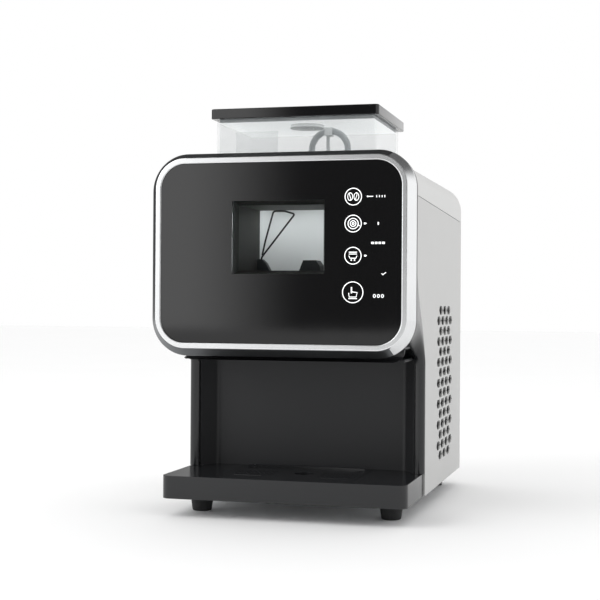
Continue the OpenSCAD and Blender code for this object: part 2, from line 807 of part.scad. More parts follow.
module side_panel_left() color("#cdcdcb") mirror([1, 0, 0]) side_panel();

cover_d0 = seam_d + seam_gap;
opening_half = tank_w / 2 + 3;
tank_d0 = seam_d + 4;
tank_d1 = tank_d0 + tank_l;
hatch_d0 = canister_d0 + 6;
hatch_pin_d = canister_d1 - 2;
hatch_pin_z = body_top - 3.5;
hatch_half = canister_half - 4;
hatch_pin_r = 1.5;

// Side view of the cover: square at the front, rounded at the rear top edge
module cover_side(inset) {
    r = cover_rear_r - inset;
    d1 = body_d - inset;
    z1 = body_top - inset;
    low = inset > 0 ? -20 : seam_gap;
    polygon([[seam_d - 10, cover_edge(seam_d - 10) + low], [d1, cover_edge(d1) + low], [d1, z1 - r],
        [d1 - r, z1], [seam_d - 10, z1]]);
    translate([d1 - r, z1 - r]) circle(r = r);
}

module top_cover() color("#d3d3d2")
    difference() {
        union() {
            difference() {
                intersection() {
                    from_front(cover_d0, body_d) outline(0);
                    from_side(-side_x, side_x) cover_side(0);
                }
                intersection() {
                    from_front(cover_d0 - e, body_d) outline(cover_wall);
                    from_side(-side_x, side_x) cover_side(cover_wall);
                }
            }
            for (s = [-1, 1]) translate([brew_x + s * (hatch_half + 3.3), 0, 0])
                block(-3, 3, hatch_pin_d - 4, hatch_pin_d + 4, hatch_pin_z - 3.4, body_top - 1);
            // ribs that bear on the upper deck
            both_sides() for (d = [seam_d + 12, body_d - 40]) {
                block(side_x - cover_wall - 5, side_x - cover_wall + 0.5, d, d + 12,
                    max(cover_z0, cover_edge(d) + seam_gap), cover_z0 + 12);
                block(side_x - cover_wall - 5, side_x - cover_wall - 1.2, d, d + 12, cover_z0,
                    cover_z0 + 12);
            }
        }
        block(-opening_half, opening_half, seam_d - 5, tank_d1 + 2, body_top - 8, body_top + e);
        block(brew_x - hatch_half, brew_x + hatch_half, hatch_d0, hatch_pin_d + 5,
            body_top - cover_wall - e, body_top + e);
        rod_x(hatch_pin_d, hatch_pin_z, brew_x - hatch_half - 8, brew_x + hatch_half + 8,
            hatch_pin_r + run_gap);
    }

module powder_hatch() color("#c9c9c8") {
    block(brew_x - hatch_half + 0.5, brew_x + hatch_half - 0.5, hatch_d0 + 0.5, hatch_pin_d - 2.5,
        body_top - cover_wall, body_top);
    block(brew_x - hatch_half + 6, brew_x + hatch_half - 6, hatch_pin_d - 6, hatch_pin_d,
        hatch_pin_z - 1, body_top - cover_wall + 0.2);
    rod_x(hatch_pin_d, hatch_pin_z, brew_x - hatch_half + 0.5, brew_x + hatch_half - 0.5, 2.6);
    rod_x(hatch_pin_d, hatch_pin_z, brew_x - hatch_half - 5, brew_x + hatch_half + 5, hatch_pin_r);
}

module hatch_seal() color("#3b3c3e")
    difference() {
        block(brew_x - canister_half, brew_x + canister_half, canister_d0, hatch_pin_d - 10,
            canister_top, body_top - cover_wall);
        block(brew_x - canister_half + 3, brew_x + canister_half - 3, canister_d0 + 3,
            hatch_pin_d - 13, canister_top - e, body_top);
    }

rear_top = cover_edge(body_d);
fan_x = 60;
fan_z = foot_h + 126;
inlet_x = -100;
inlet_z = foot_h + 46;
switch_x = -55;
screw_places = [for (x = [-inner_x + 8, inner_x - 8],
    z = [foot_h + 12, foot_h + 120, foot_h + 230, deck_z0 - 10]) [x, z]];

module rear_panel() color("#c2c3c3")
    difference() {
        block(-inner_x, inner_x, rear_in, rear_out, foot_h, rear_top);
        for (k = [-4:4]) let (l = 2 * sqrt(pow(fan_size / 2 - 6, 2) - pow(k * 9, 2)))
            block(fan_x - l / 2, fan_x + l / 2, rear_in - e, rear_out + e,
                fan_z + k * 9 - 2.5, fan_z + k * 9 + 2.5);
        block(inlet_x - 13.7, inlet_x + 13.7, rear_in - e, rear_out + e, inlet_z - 10.2, inlet_z + 10.2);
        block(switch_x - 7.2, switch_x + 7.2, rear_in - e, rear_out + e, inlet_z - 10.2, inlet_z + 10.2);
        for (p = screw_places) rod_y(p[0], p[1], rear_in - e, rear_out + e, 1.6);
    }

/* ---- water tank ---- */

tray_half = opening_half + 2;
tray_d0 = seam_d + 1.5;
tray_d1 = tank_d1 + 3;
tray_z1 = body_top - cover_wall;
tank_half = tank_w / 2;
tank_z0 = deck_z1 + 5;
tank_r = 6;

module tank_tray() color("#37383a")
    difference() {
        block(-tray_half, tray_half, tray_d0, tray_d1, deck_z1, tray_z1);
        block(-opening_half + 0.6, opening_half - 0.6, tray_d0 + 2, tank_d1 + 1, deck_z1 + 2.5, tray_z1 + e);
        post_z(seat_x, seat_d, deck_z1 - e, deck_z1 + 3, seat_r + fit);
    }

// Socket in the deck that the tank's outlet valve plugs into
module tank_seat() color("#2a2a2b")
    difference() {
        union() {
            post_z(seat_x, seat_d, deck_z0 - 12, deck_z1 + 2.5, seat_r);
            post_z(seat_x, seat_d, deck_z0 - 3, deck_z0, seat_r + 5);
        }
        post_z(seat_x, seat_d, deck_z0 - 8, deck_z1 + 4, 7.5);
        post_z(seat_x, seat_d, deck_z0 - 13, deck_z0, 3.7);
    }

module tank_plan(inset) {
    translate([0, (tank_d0 + tank_d1) / 2])
        rounded(tank_w - 2 * inset, tank_l - 2 * inset, tank_r - inset);
}

tank_foot_z = deck_z1 + 2.5;
module tank_shell() color("#cfe0e6", 0.3)
    difference() {
        union() {
            from_top(tank_z0, lid_z0) tank_plan(0);
            for (x = [-tank_half + 16, tank_half - 16], d = [tank_d0 + 16, tank_d1 - 16])
                post_z(x, d, tank_foot_z, tank_z0 + 1, 6);
        }
        from_top(tank_z0 + tank_wall, lid_z0 + e) tank_plan(tank_wall);
        post_z(seat_x, seat_d, tank_z0 - e, tank_z0 + tank_wall + e, 6 + run_gap);
    }

baffle_d = tank_d0 + 70;
module tank_baffle() color("#d6e4e8", 0.4)
    block(-tank_half + tank_wall, -tank_half + tank_wall + 55, baffle_d, baffle_d + 2,
        tank_z0 + tank_wall, lid_z0 - 6);

module tank_valve() color("#e4e5e3")
    difference() {
        union() {
            post_z(seat_x, seat_d, deck_z0 - 6, tank_z0 + tank_wall + 2, 6);
            post_z(seat_x, seat_d, tank_z0 + tank_wall, tank_z0 + tank_wall + 3, 10);
        }
        post_z(seat_x, seat_d, deck_z0 - 7, tank_z0 + tank_wall + 4, 3.5);
    }

hose_r = hose_d / 2;
arch_x = 26;
arch_d = tank_d0 + 71;
arch_z = lid_z0 - 8 - hose_arch;
spigot_z = tank_z0 + tank_wall;
module hose_stand() color("#f1f2f2")
    difference() {
        union() {
            block(arch_x - 5.5, arch_x - 1.5, arch_d + hose_r + 0.2, arch_d + hose_r + 3.2, spigot_z,
                lid_z0 - 3);
            block(arch_x - 5.5, arch_x + 4, arch_d - hose_r - 2, arch_d + hose_r + 3.2,
                arch_z + hose_arch - hose_r - 2, lid_z0 - 1);
            for (x = [arch_x - hose_arch, arch_x + hose_arch]) post_z(x, arch_d, spigot_z, spigot_z + 12, hose_r - 1.6);
            block(arch_x - hose_arch - 6, arch_x + hose_arch + 6, arch_d - 6, arch_d + hose_r + 6,
                spigot_z, spigot_z + 2);
        }
        rod_x(arch_d, arch_z + hose_arch - 0.4, arch_x - 10, arch_x + 10, hose_r + 0.7);
    }

module hose_half_ring(r) {
    translate([arch_x, fy(arch_d), arch_z]) rotate([90, 0, 0])
        rotate_extrude(angle = 180) translate([hose_arch, 0]) circle(r = r);
}

module return_hose() color("#c3c8ca", 0.7) {
    difference() {
        hose_half_ring(hose_r);
        hose_half_ring(hose_r - 1.5);
    }
    for (s = [-1, 1]) difference() {
        post_z(arch_x + s * hose_arch, arch_d, spigot_z + 2, arch_z, hose_r);
        post_z(arch_x + s * hose_arch, arch_d, spigot_z, arch_z + e, hose_r - 1.5);
    }
}

lid_d0 = tank_d0 - 8;
lid_d1 = tank_d1 + 14;
lid_half = tank_half + lid_over;
lid_r = 5;
module tank_lid() color("#101112")
    difference() {
        from_top(lid_z0, lid_z0 + lid_t) translate([0, (lid_d0 + lid_d1) / 2])
            rounded(2 * lid_half, lid_d1 - lid_d0, lid_r);
        from_top(lid_z0 + 3, lid_z0 + lid_t - 3) translate([0, (lid_d0 + lid_d1) / 2])
            rounded(2 * lid_half - 6, lid_d1 - lid_d0 - 6, lid_r - 3);
    }

module lid_seal() color("#e8e9e9")
    difference() {
        from_top(lid_z0 - 3.5, lid_z0) tank_plan(tank_wall + fit);
        from_top(lid_z0 - 5, lid_z0 + e) tank_plan(tank_wall + fit + 2.5);
    }

cap_x = 4;
cap_place_d = tank_d0 + 44;
module lid_cap() color("#c9ccce")
    translate([cap_x, fy(cap_place_d), 0]) difference() {
        union() {
            translate([0, 0, lid_z0 - 2.5]) cylinder(h = 2.5, r1 = cap_d / 2 + 1, r2 = cap_d / 2 + 8);
            translate([0, 0, lid_z0 - 8]) cylinder(h = 6, r = cap_d / 2);
            translate([-8, -3, lid_z0 - 10]) cube([16, 6, 3]);
        }
        translate([0, 0, lid_z0 - 6]) difference() {
            cylinder(h = 2, r = cap_d / 2 + 1);
            translate([0, 0, -e]) cylinder(h = 4, r = cap_d / 2 - 1.5);
        }
    }

/* ---- water, heat and electrics ---- */

boiler_x = -80;
boiler_d = 235;
boiler_z0 = base_z1 + 36;
boiler_z1 = boiler_z0 + 130;
module boiler() color("#b9bcbf") {
    difference() {
        post_z(boiler_x, boiler_d, boiler_z0, boiler_z1, boiler_r);
        post_z(boiler_x, boiler_d, boiler_z0 + 2, boiler_z1 - 2, boiler_r - 2);
    }
    post_z(boiler_x, boiler_d, boiler_z1 - 1, boiler_z1 + 14, 4);
    rod_x(boiler_d, boiler_z0 + 24, boiler_x + boiler_r - 2, boiler_x + boiler_r + 12, 4);
}

module boiler_bracket() color("#a3a6aa") {
    half = boiler_r + 4;
    block(boiler_x - half, boiler_x + half, boiler_d - half, boiler_d + half, boiler_z0 - sheet_t,
        boiler_z0);
    for (s = [-1, 1]) translate([boiler_x + s * (half - sheet_t / 2), 0, 0])
        block(-sheet_t / 2, sheet_t / 2, boiler_d - half, boiler_d + half, base_z1,
            boiler_z0 - sheet_t);
}

pump_x = 80;
pump_d = 320;
pump_z = base_z1 + 34;
module pump() color("#56595d") {
    block(pump_x - 24, pump_x + 24, pump_d - 30, pump_d + 30, base_z1, base_z1 + 5);
    block(pump_x - 20, pump_x + 20, pump_d - 20, pump_d + 20, base_z1 + 5, pump_z + 20);
    rod_y(pump_x, pump_z, pump_d - 34, pump_d + 32, 13);
    post_z(pump_x, pump_d, pump_z + 19, pump_z + 30, 4);
    rod_x(pump_d, pump_z, pump_x - 32, pump_x - 19, 4);
}

valve_z = bowl_inlet_z - 31;
module solenoid_valve() color("#7d6a3a") {
    block(bowl_inlet_x - 13, bowl_inlet_x + 13, bulk_d1, bulk_d1 + 28, valve_z - 13, valve_z + 13);
    post_z(bowl_inlet_x, bulk_d1 + 14, valve_z + 12, valve_z + 20, 3);
    rod_x(bulk_d1 + 14, valve_z, bowl_inlet_x - 22, bowl_inlet_x - 12, 3);
}

water_r = 4.5;
water_bore = 3;
module water_hoses() color("#d9dcdd") {
    hose([[seat_x, seat_d, deck_z0 - 12], [seat_x, seat_d, pump_z + 90],
        [pump_x, pump_d, pump_z + 60], [pump_x, pump_d, pump_z + 30]], water_r, water_bore);
    hose([[pump_x - 32, pump_d, pump_z], [pump_x - 70, pump_d, pump_z],
        [boiler_x + boiler_r + 40, boiler_d, boiler_z0 + 24],
        [boiler_x + boiler_r + 12, boiler_d, boiler_z0 + 24]], water_r, water_bore);
    hose([[boiler_x, boiler_d, boiler_z1 + 14], [boiler_x, boiler_d, boiler_z1 + 26],
        [bowl_inlet_x - 50, bulk_d1 + 14, valve_z], [bowl_inlet_x - 22, bulk_d1 + 14, valve_z]],
        water_r, water_bore);
    hose([[bowl_inlet_x, bulk_d1 + 14, valve_z + 20], [bowl_inlet_x, bulk_d1 + 14, bowl_inlet_z],
        [bowl_inlet_x, brew_d + 31, bowl_inlet_z]], water_r - 0.5, water_bore - 1);
}

board_z0 = body_top - 175;
module control_board() color("#1f5a37") {
    block(-inner_x + 20, -30, bulk_d1 + 5, bulk_d1 + 6.6, board_z0, board_z0 + 105);
    for (x = [-inner_x + 26, -36], z = [board_z0 + 6, board_z0 + 99])
        rod_y(x, z, bulk_d1, bulk_d1 + 5, 3);
    block(-110, -80, bulk_d1 + 6.6, bulk_d1 + 12, board_z0 + 30, board_z0 + 60);
    block(-70, -45, bulk_d1 + 6.6, bulk_d1 + 18, board_z0 + 20, board_z0 + 40);
    block(-112, -60, bulk_d1 + 6.6, bulk_d1 + 14, board_z0 + 80, board_z0 + 92);
}

module power_board() color("#1f5a37") {
    block(20, 120, 180, 262, base_z1 + 6, base_z1 + 7.6);
    for (x = [26, 114], d = [186, 256]) post_z(x, d, base_z1, base_z1 + 6, 3);
    block(40, 75, 195, 230, base_z1 + 7.6, base_z1 + 30);
    post_z(98, 205, base_z1 + 7.6, base_z1 + 32, 9);
    block(84, 112, 230, 250, base_z1 + 7.6, base_z1 + 20);
}

fan_t = 25;
fan_bore = fan_size / 2 - 3.5;
fan_pin_r = 2;
fan_hub_r = 17;
module fan_frame() color("#202122") {
    d0 = rear_in - fan_t;
    difference() {
        block(fan_x - fan_size / 2, fan_x + fan_size / 2, d0, rear_in, fan_z - fan_size / 2,
            fan_z + fan_size / 2);
        rod_y(fan_x, fan_z, d0 - e, rear_in + e, fan_bore);
    }
    for (a = [45, 165, 285]) translate([fan_x, fy(rear_in - 3), fan_z])
        rotate([0, a, 0]) translate([-2, 0, fan_hub_r - 2])
            cube([4, 2.6, fan_bore - fan_hub_r + 3.3]);
    rod_y(fan_x, fan_z, rear_in - 4, rear_in - 0.2, fan_hub_r);
    rod_y(fan_x, fan_z, d0 + 4, rear_in - 3, fan_pin_r);
}

module fan_rotor() color("#151516")
    difference() {
        union() {
            rod_y(fan_x, fan_z, rear_in - fan_t + 2, rear_in - 4.5, fan_hub_r);
            for (k = [0:6]) translate([fan_x, fy(rear_in - 14), fan_z])
                rotate([0, 360 / 7 * k, 0]) translate([0, 0, fan_hub_r - 2])
                    rotate([0, 0, 40]) translate([-9, -0.9, 0]) cube([18, 1.8, fan_bore - fan_hub_r - 1]);
        }
        rod_y(fan_x, fan_z, rear_in - fan_t - e, rear_in, fan_pin_r + run_gap);
    }

module power_inlet() color("#18191a")
    difference() {
        union() {
            block(inlet_x - 25, inlet_x + 25, rear_out, rear_out + 1.5, inlet_z - 12.5, inlet_z + 12.5);
            block(inlet_x - 13.5, inlet_x + 13.5, rear_in - 22, rear_out, inlet_z - 10, inlet_z + 10);
        }
        difference() {
            block(inlet_x - 12, inlet_x + 12, rear_out - 17, rear_out + 3, inlet_z - 8.3, inlet_z + 8.3);
            for (p = [[0, 3], [-7, -2], [7, -2]])
                block(inlet_x + p[0] - 1, inlet_x + p[0] + 1, rear_out - 18, rear_out - 4,
                    inlet_z + p[1] - 2, inlet_z + p[1] + 2);
        }
    }

module switch_unit() color("#1a1a1b")
    difference() {
        union() {
            block(switch_x - 9, switch_x + 9, rear_out, rear_out + 1.2, inlet_z - 12.5, inlet_z + 12.5);
            block(switch_x - 7, switch_x + 7, rear_in - 16, rear_out, inlet_z - 10, inlet_z + 10);
        }
        block(switch_x - 5.5, switch_x + 5.5, rear_in - 8, rear_out + 3, inlet_z - 9, inlet_z + 9);
        rod_x(rocker_d, inlet_z, switch_x - 6.5, switch_x + 6.5, 1 + run_gap);
    }

// Rocker drawn in its off position, with a pivot pin along X
rocker_d = rear_out - 3;
module switch_rocker() color("#2b2c2e") {
    from_side(switch_x - 5.2, switch_x + 5.2) polygon([[rocker_d - 2.5, inlet_z],
        [rear_out + 0.6, inlet_z - 8.2], [rear_out + 2, inlet_z - 7.4],
        [rear_out + 0.4, inlet_z], [rear_out - 0.8, inlet_z + 7.9], [rear_out - 2, inlet_z + 8.2]]);
    rod_x(rocker_d, inlet_z, switch_x - 6.4, switch_x + 6.4, 1);
}

rubber_feet();
case_screws();
base_plate();
bulkhead();
upper_deck();
drip_base();
drip_pan();
drip_grille();
bay_liner();
header_grille();
front_housing();
chrome_bezel();
fascia_carrier();
glass_panel();
window_pane();
touch_board();
window_surround();
chamber_liner();
wire_bracket();
flap_wire();
powder_nozzle();
powder_canister();
auger_screw();
auger_gear();
agitator_wheel();
agitator_gear();
motor_bracket();
auger_motor();
mixing_bowl();
spout_nozzle();
whipper_impeller();
whipper_motor();
side_panel_left();
side_panel_right();
top_cover();
powder_hatch();
hatch_seal();
rear_panel();
tank_tray();
tank_seat();
tank_shell();
tank_baffle();
tank_valve();
hose_stand();
return_hose();
tank_lid();
lid_cap();
lid_seal();
boiler();
boiler_bracket();
pump();
solenoid_valve();
water_hoses();
control_board();
power_board();
fan_frame();
fan_rotor();
power_inlet();
switch_unit();
switch_rocker();
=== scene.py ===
"""Looks of a countertop hot-coffee machine, built around its CAD frame.

Run as a script: it registers the panel and operators below and runs the operators
in order. All sizes are in metres unless a name says mm."""

import json
import math

import bmesh
import bpy
from mathutils import Matrix, Vector


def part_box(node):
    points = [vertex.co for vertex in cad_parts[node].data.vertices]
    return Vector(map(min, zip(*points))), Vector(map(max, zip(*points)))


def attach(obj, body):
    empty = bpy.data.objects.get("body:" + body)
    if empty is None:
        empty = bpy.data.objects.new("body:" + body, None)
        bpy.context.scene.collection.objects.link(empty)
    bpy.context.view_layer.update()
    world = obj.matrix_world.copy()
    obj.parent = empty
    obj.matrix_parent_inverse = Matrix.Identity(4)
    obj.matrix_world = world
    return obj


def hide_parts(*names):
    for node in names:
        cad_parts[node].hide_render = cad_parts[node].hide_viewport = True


bl_info = {
    "name": "Countertop coffee machine",
    "version": (1, 0, 0),
    "blender": (4, 5, 0),
    "location": "View3D > Sidebar > Coffee machine",
    "description": "Finishes and fine shapes of a countertop hot-coffee machine",
    "category": "Object",
}

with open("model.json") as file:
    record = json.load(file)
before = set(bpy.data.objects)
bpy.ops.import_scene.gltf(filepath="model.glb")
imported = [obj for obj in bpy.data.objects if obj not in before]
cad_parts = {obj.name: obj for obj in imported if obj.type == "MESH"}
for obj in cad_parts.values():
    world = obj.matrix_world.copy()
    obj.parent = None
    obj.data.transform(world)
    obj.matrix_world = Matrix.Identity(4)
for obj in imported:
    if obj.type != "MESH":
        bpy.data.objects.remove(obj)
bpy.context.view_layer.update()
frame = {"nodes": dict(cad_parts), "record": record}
NODES = frame["nodes"]
MM = 0.001
CORNER_R = 36
GLASS_INSET = 6.8
INK_T = 0.04 * MM
CHEEK_D, SEAM_D, PILLAR_D, PILLAR_SEAM_D, LINER_D = 55, 65, 120, 127, 126.5


# ---------------------------------------------------------------- small tools

def lowest(name):
    """Lowest corner of a CAD node."""
    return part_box(name)[0]


def highest(name):
    """Highest corner of a CAD node."""
    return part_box(name)[1]


def linear(hex_colour):
    """sRGB hex such as '#c8c8c6' to linear red, green, blue and alpha."""
    text = hex_colour.lstrip("#")
    values = [int(text[i:i + 2], 16) / 255 for i in (0, 2, 4)]
    return [v / 12.92 if v <= 0.04045 else ((v + 0.055) / 1.055) ** 2.4 for v in values] + [1.0]


def add_node(tree, kind, settings=None, **inputs):
    """Adds a node, sets its properties and fills or links its inputs by name."""
    new = tree.nodes.new(kind)
    for key, value in (settings or {}).items():
        setattr(new, key, value)
    for key, value in inputs.items():
        numbered = key[0] == "i" and key[1:].isdigit()
        socket = new.inputs[int(key[1:]) if numbered else key.replace("_", " ")]
        if isinstance(value, bpy.types.NodeSocket):
            tree.links.new(value, socket)
        else:
            socket.default_value = value
    return new


def math_node(tree, operation, **inputs):
    """Math node of one operation."""
    return add_node(tree, "ShaderNodeMath", {"operation": operation}, **inputs)


def coordinates(tree, size_mm, stretch=(1, 1, 1)):
    """Object coordinates counted in steps of size_mm, stretched along the axes."""
    source = add_node(tree, "ShaderNodeTexCoord")
    scale = [1 / (size_mm * MM * s) for s in stretch]
    return add_node(tree, "ShaderNodeMapping", Vector=source.outputs["Object"], Scale=scale).outputs[0]


def ramp(tree, factor, stops):
    """Colour ramp with (position, linear colour) stops."""
    new = add_node(tree, "ShaderNodeValToRGB", Fac=factor)
    elements = new.color_ramp.elements
    while len(elements) < len(stops):
        elements.new(0.5)
    for element, (place, colour) in zip(elements, stops):
        element.position = place
        element.color = colour
    return new.outputs["Color"]


def shade(colour, factor):
    """A linear colour made darker or lighter."""
    return [min(1.0, c * factor) for c in colour[:3]] + [1.0]


def finish_material(name, colour, roughness, metallic=0.0, ior=1.5, grain_mm=1.0, grain_depth=0.02,
                    stretch=(1, 1, 1), mottle=0.06, mottle_mm=60, rough_spread=0.06, sockets=None):
    """Principled material whose grain, faint mottling and uneven gloss are procedural.

    grain_mm is the size of the surface grain and grain_depth its height in millimetres."""
    material = bpy.data.materials.new(name)
    material.use_nodes = True
    tree = material.node_tree
    tree.nodes.clear()
    base = linear(colour)
    broad = add_node(tree, "ShaderNodeTexNoise", Vector=coordinates(tree, mottle_mm), Scale=1.0,
                     Detail=4.0).outputs["Fac"]
    fine = add_node(tree, "ShaderNodeTexNoise", Vector=coordinates(tree, grain_mm, stretch), Scale=1.0,
                    Detail=3.0).outputs["Fac"]
    tint = ramp(tree, broad, [(0.3, shade(base, 1 - mottle)), (0.7, shade(base, 1 + mottle))])
    gloss = add_node(tree, "ShaderNodeMapRange", Value=broad)
    gloss.inputs["To Min"].default_value = max(0.02, roughness - rough_spread / 2)
    gloss.inputs["To Max"].default_value = roughness + rough_spread / 2
    bump = add_node(tree, "ShaderNodeBump", Height=fine, Strength=1.0, Distance=grain_depth * MM)
    shader = add_node(tree, "ShaderNodeBsdfPrincipled", Base_Color=tint, Roughness=gloss.outputs[0],
                      Normal=bump.outputs[0])
    shader.inputs["Metallic"].default_value = metallic
    if not metallic:
        shader.inputs["IOR"].default_value = ior
    for key, value in (sockets or {}).items():
        shader.inputs[key].default_value = value
    output = add_node(tree, "ShaderNodeOutputMaterial", Surface=shader.outputs[0])
    output.location = (400, 0)
    return material


# ------------------------------------------------------------------ materials

def moulded_abs(name, colour, roughness=0.42, grain_mm=0.8):
    # ABS from a spark-textured mould: dark, fine grain, soft broad highlights
    return finish_material(name, colour, roughness, grain_mm=grain_mm, grain_depth=0.012, mottle=0.08,
                           mottle_mm=45)


def polished_back_painted_glass(colour):
    # float glass painted black behind: mirror-smooth, slightly uneven reflections
    return finish_material("back_painted_float_glass", colour, 0.05, ior=1.52, grain_mm=60,
                           grain_depth=0.02, mottle=0.1, rough_spread=0.02)


def satin_chrome_plate(colour):
    # plated ABS, brushed along the frame: bright metal with soft reflections
    return finish_material("satin_chrome_plate", colour, 0.26, metallic=1.0, grain_mm=0.9,
                           grain_depth=0.0006, stretch=(12, 12, 1), mottle=0.03, rough_spread=0.05)


def chrome_plate_painted_dark_reflection(colour):
    # painted dark reflection: this darker copy of the plate on the flank's left, top and bottom stands in
    # for dark surroundings that the studio lacks; the flank is probably one plating, so it is a choice
    # for the product view
    return finish_material("chrome_plate_painted_dark_reflection", colour, 0.3, metallic=1.0, grain_mm=0.9,
                           grain_depth=0.0006, stretch=(12, 12, 1), mottle=0.03, rough_spread=0.05)


def powder_coated_steel(name, colour, roughness=0.5):
    # fine-texture powder coat: light silver grey with a dense, even sandy grain
    return finish_material(name, colour, roughness, ior=1.5, grain_mm=0.9, grain_depth=0.035,
                           mottle=0.02, mottle_mm=90, rough_spread=0.08)


def brushed_stainless(colour):
    # sheet steel brushed along X: metal with long fine scratches
    return finish_material("brushed_stainless_steel", colour, 0.3, metallic=1.0, grain_mm=0.35,
                           grain_depth=0.006, stretch=(40, 1, 1), mottle=0.05, rough_spread=0.1)


def piano_black_acrylic(colour):
    # polished black acrylic of the tank lid: deep black and glossy
    return finish_material("polished_black_acrylic", colour, 0.08, ior=1.49, grain_mm=50,
                           grain_depth=0.01, mottle=0.08, rough_spread=0.03)


def clear_moulded(name, colour, roughness, ior, transmission=1.0, grain_mm=40):
    # clear moulded wall: bright, with grey lines where the eye looks along an edge
    return finish_material(name, colour, roughness, ior=ior, grain_mm=grain_mm, grain_depth=0.004,
                           mottle=0.0, rough_spread=0.01,
                           sockets={"Transmission Weight": transmission})


def thin_acrylic(colour):
    # clear cast acrylic sheet, drawn by opacity without refraction: paler where walls overlap
    return finish_material("clear_cast_acrylic", colour, 0.04, ior=1.49, grain_mm=40, grain_depth=0.004,
                           mottle=0.0, rough_spread=0.01, sockets={"Alpha": 0.15})


def moulded_white(name, colour, roughness=0.38):
    # white polypropylene, slightly translucent and waxy
    return finish_material(name, colour, roughness, ior=1.49, grain_mm=1.5, grain_depth=0.01,
                           mottle=0.03, sockets={"Subsurface Weight": 0.1,
                                                 "Subsurface Radius": (0.004, 0.004, 0.004),
                                                 "Subsurface Scale": 1.0})


def rubber(name, colour):
    # moulded nitrile rubber: matt, dusty black
    return finish_material(name, colour, 0.7, ior=1.52, grain_mm=1.2, grain_depth=0.03, mottle=0.15,
                           mottle_mm=12)


def backlit_ink_and_painted_glow(name, colour, glow):
    # white screen-printed ink, lit from behind; on the lid plate the same emission is a painted glow
    return finish_material(name, colour, 0.5, grain_mm=0.4, grain_depth=0.002, mottle=0.02,
                           mottle_mm=6, sockets={"Emission Color": linear(colour),
                                                 "Emission Strength": glow})


def solder_mask(colour):
    # epoxy board under green solder mask: glossy with a faint weave
    return finish_material("solder_mask_board", colour, 0.3, grain_mm=0.6, grain_depth=0.01,
                           mottle=0.12, mottle_mm=8)


def make_materials(colours):
    """Every material of the machine, by a short key."""
    return {
        "abs": moulded_abs("spark_textured_charcoal_abs", colours.housing),
        # the drip pan's near black, darker than the other mouldings, is painted shade under the grille
        # that makes its holes read dark
        "pan": moulded_abs("drip_pan_abs_with_painted_shade", "#070708", 0.6),
        "bay": moulded_abs("fine_textured_charcoal_abs", colours.bay, 0.5),
        "abs_gloss": moulded_abs("satin_moulded_charcoal_abs", colours.platform, 0.2),
        "abs_grille": moulded_abs("satin_moulded_black_abs", colours.grille, 0.26),
        "abs_black": moulded_abs("matt_moulded_black_abs", "#17181a", 0.5),
        "abs_surround": moulded_abs("matt_moulded_olive_black_abs", colours.surround, 0.55),
        "glass": polished_back_painted_glass(colours.glass),
        "pane": clear_moulded("clear_float_glass", "#f4f8f8", 0.02, 1.1),
        "chrome": satin_chrome_plate(colours.chrome),
        "painted_dark_reflection": chrome_plate_painted_dark_reflection(colours.flank),
        "black_coat": powder_coated_steel("black_powder_coat", "#1b1c1d", 0.6),
        "panel": powder_coated_steel("fine_texture_powder_coat", colours.panel),
        "cover": powder_coated_steel("fine_texture_painted_abs", colours.cover, 0.46),
        "steel": brushed_stainless("#b4b6b8"),
        "lid": piano_black_acrylic(colours.lid),
        "acrylic": thin_acrylic("#d9dedf"),
        "silicone": clear_moulded("translucent_extruded_silicone", "#c9cdcf", 0.35, 1.3, 0.55, 2),
        # the lid plate's emission is a painted glow in place of daylight through the tank
        "glow": backlit_ink_and_painted_glow("lid_plate_painted_glow", "#f6f8f8", 0.62),
        "white": moulded_white("moulded_white_polypropylene", "#e4e6e6"),
        "liner": moulded_white("moulded_light_grey_polypropylene", colours.liner, 0.45),
        "canister": moulded_white("moulded_natural_polypropylene", "#d9dad4"),
        "nylon": moulded_white("machined_natural_nylon", "#e6e4da", 0.4),
        "rubber": rubber("moulded_black_rubber", colours.rubber),
        "seal": rubber("moulded_grey_silicone_rubber", "#3a3c3e"),
        "ink": backlit_ink_and_painted_glow("screen_printed_white_ink", colours.ink, 0.75),
        "wire": finish_material("black_dipped_spring_wire", "#121213", 0.35, grain_mm=0.8,
                                mottle_mm=8),
        "board": solder_mask("#1d5a38"),
        "motor": finish_material("zinc_plated_motor_can", "#8d9196", 0.35, metallic=1.0, grain_mm=0.5,
                                 grain_depth=0.006, mottle=0.08),
        "brass": finish_material("machined_brass", "#b08b45", 0.3, metallic=1.0, grain_mm=0.3,
                                 grain_depth=0.004, mottle=0.08),
    }


FINISH_OF_NODE = {
    "rubber": ["rubber_feet"],
    "steel": ["case_screws", "base_plate", "bulkhead", "motor_bracket", "boiler",
              "boiler_bracket"],
    "black_coat": ["upper_deck"],
    "abs": ["front_housing", "tank_tray"],
    "pan": ["drip_pan"],
    "abs_gloss": ["drip_base"],
    "bay": ["bay_liner"],
    "abs_grille": ["drip_grille"],
    "abs_black": ["header_grille", "fascia_carrier", "wire_bracket", "powder_nozzle",
                  "spout_nozzle", "fan_frame", "fan_rotor", "power_inlet", "switch_unit",
                  "switch_rocker"],
    "abs_surround": ["window_surround"],
    "chrome": ["chrome_bezel"],
    "glass": ["glass_panel"],
    "pane": ["window_pane"],
    "board": ["touch_board", "control_board", "power_board"],
    "liner": ["chamber_liner"],
    "wire": ["flap_wire"],
    "canister": ["powder_canister"],
    "nylon": ["auger_screw", "auger_gear", "agitator_wheel", "agitator_gear", "whipper_impeller"],
    "motor": ["auger_motor", "whipper_motor", "pump"],
    "white": ["mixing_bowl", "tank_valve", "hose_stand", "lid_cap"],
    "panel": ["side_panel_left", "side_panel_right", "rear_panel"],
    "cover": ["top_cover", "powder_hatch"],
    "seal": ["hatch_seal", "tank_seat"],
    "acrylic": ["tank_shell", "tank_baffle"],
    "silicone": ["return_hose", "lid_seal", "water_hoses"],
    "lid": ["tank_lid"],
    "brass": ["solenoid_valve"],
}
FINISHES = {}


# ----------------------------------------------------------------- mesh tools

def body_of_node(name):
    """Name of the CAD body that a CAD node rides on."""
    bodies = frame["record"]["behaviour"]["bodies"]
    return next(body for body, members in bodies.items() if name in members)


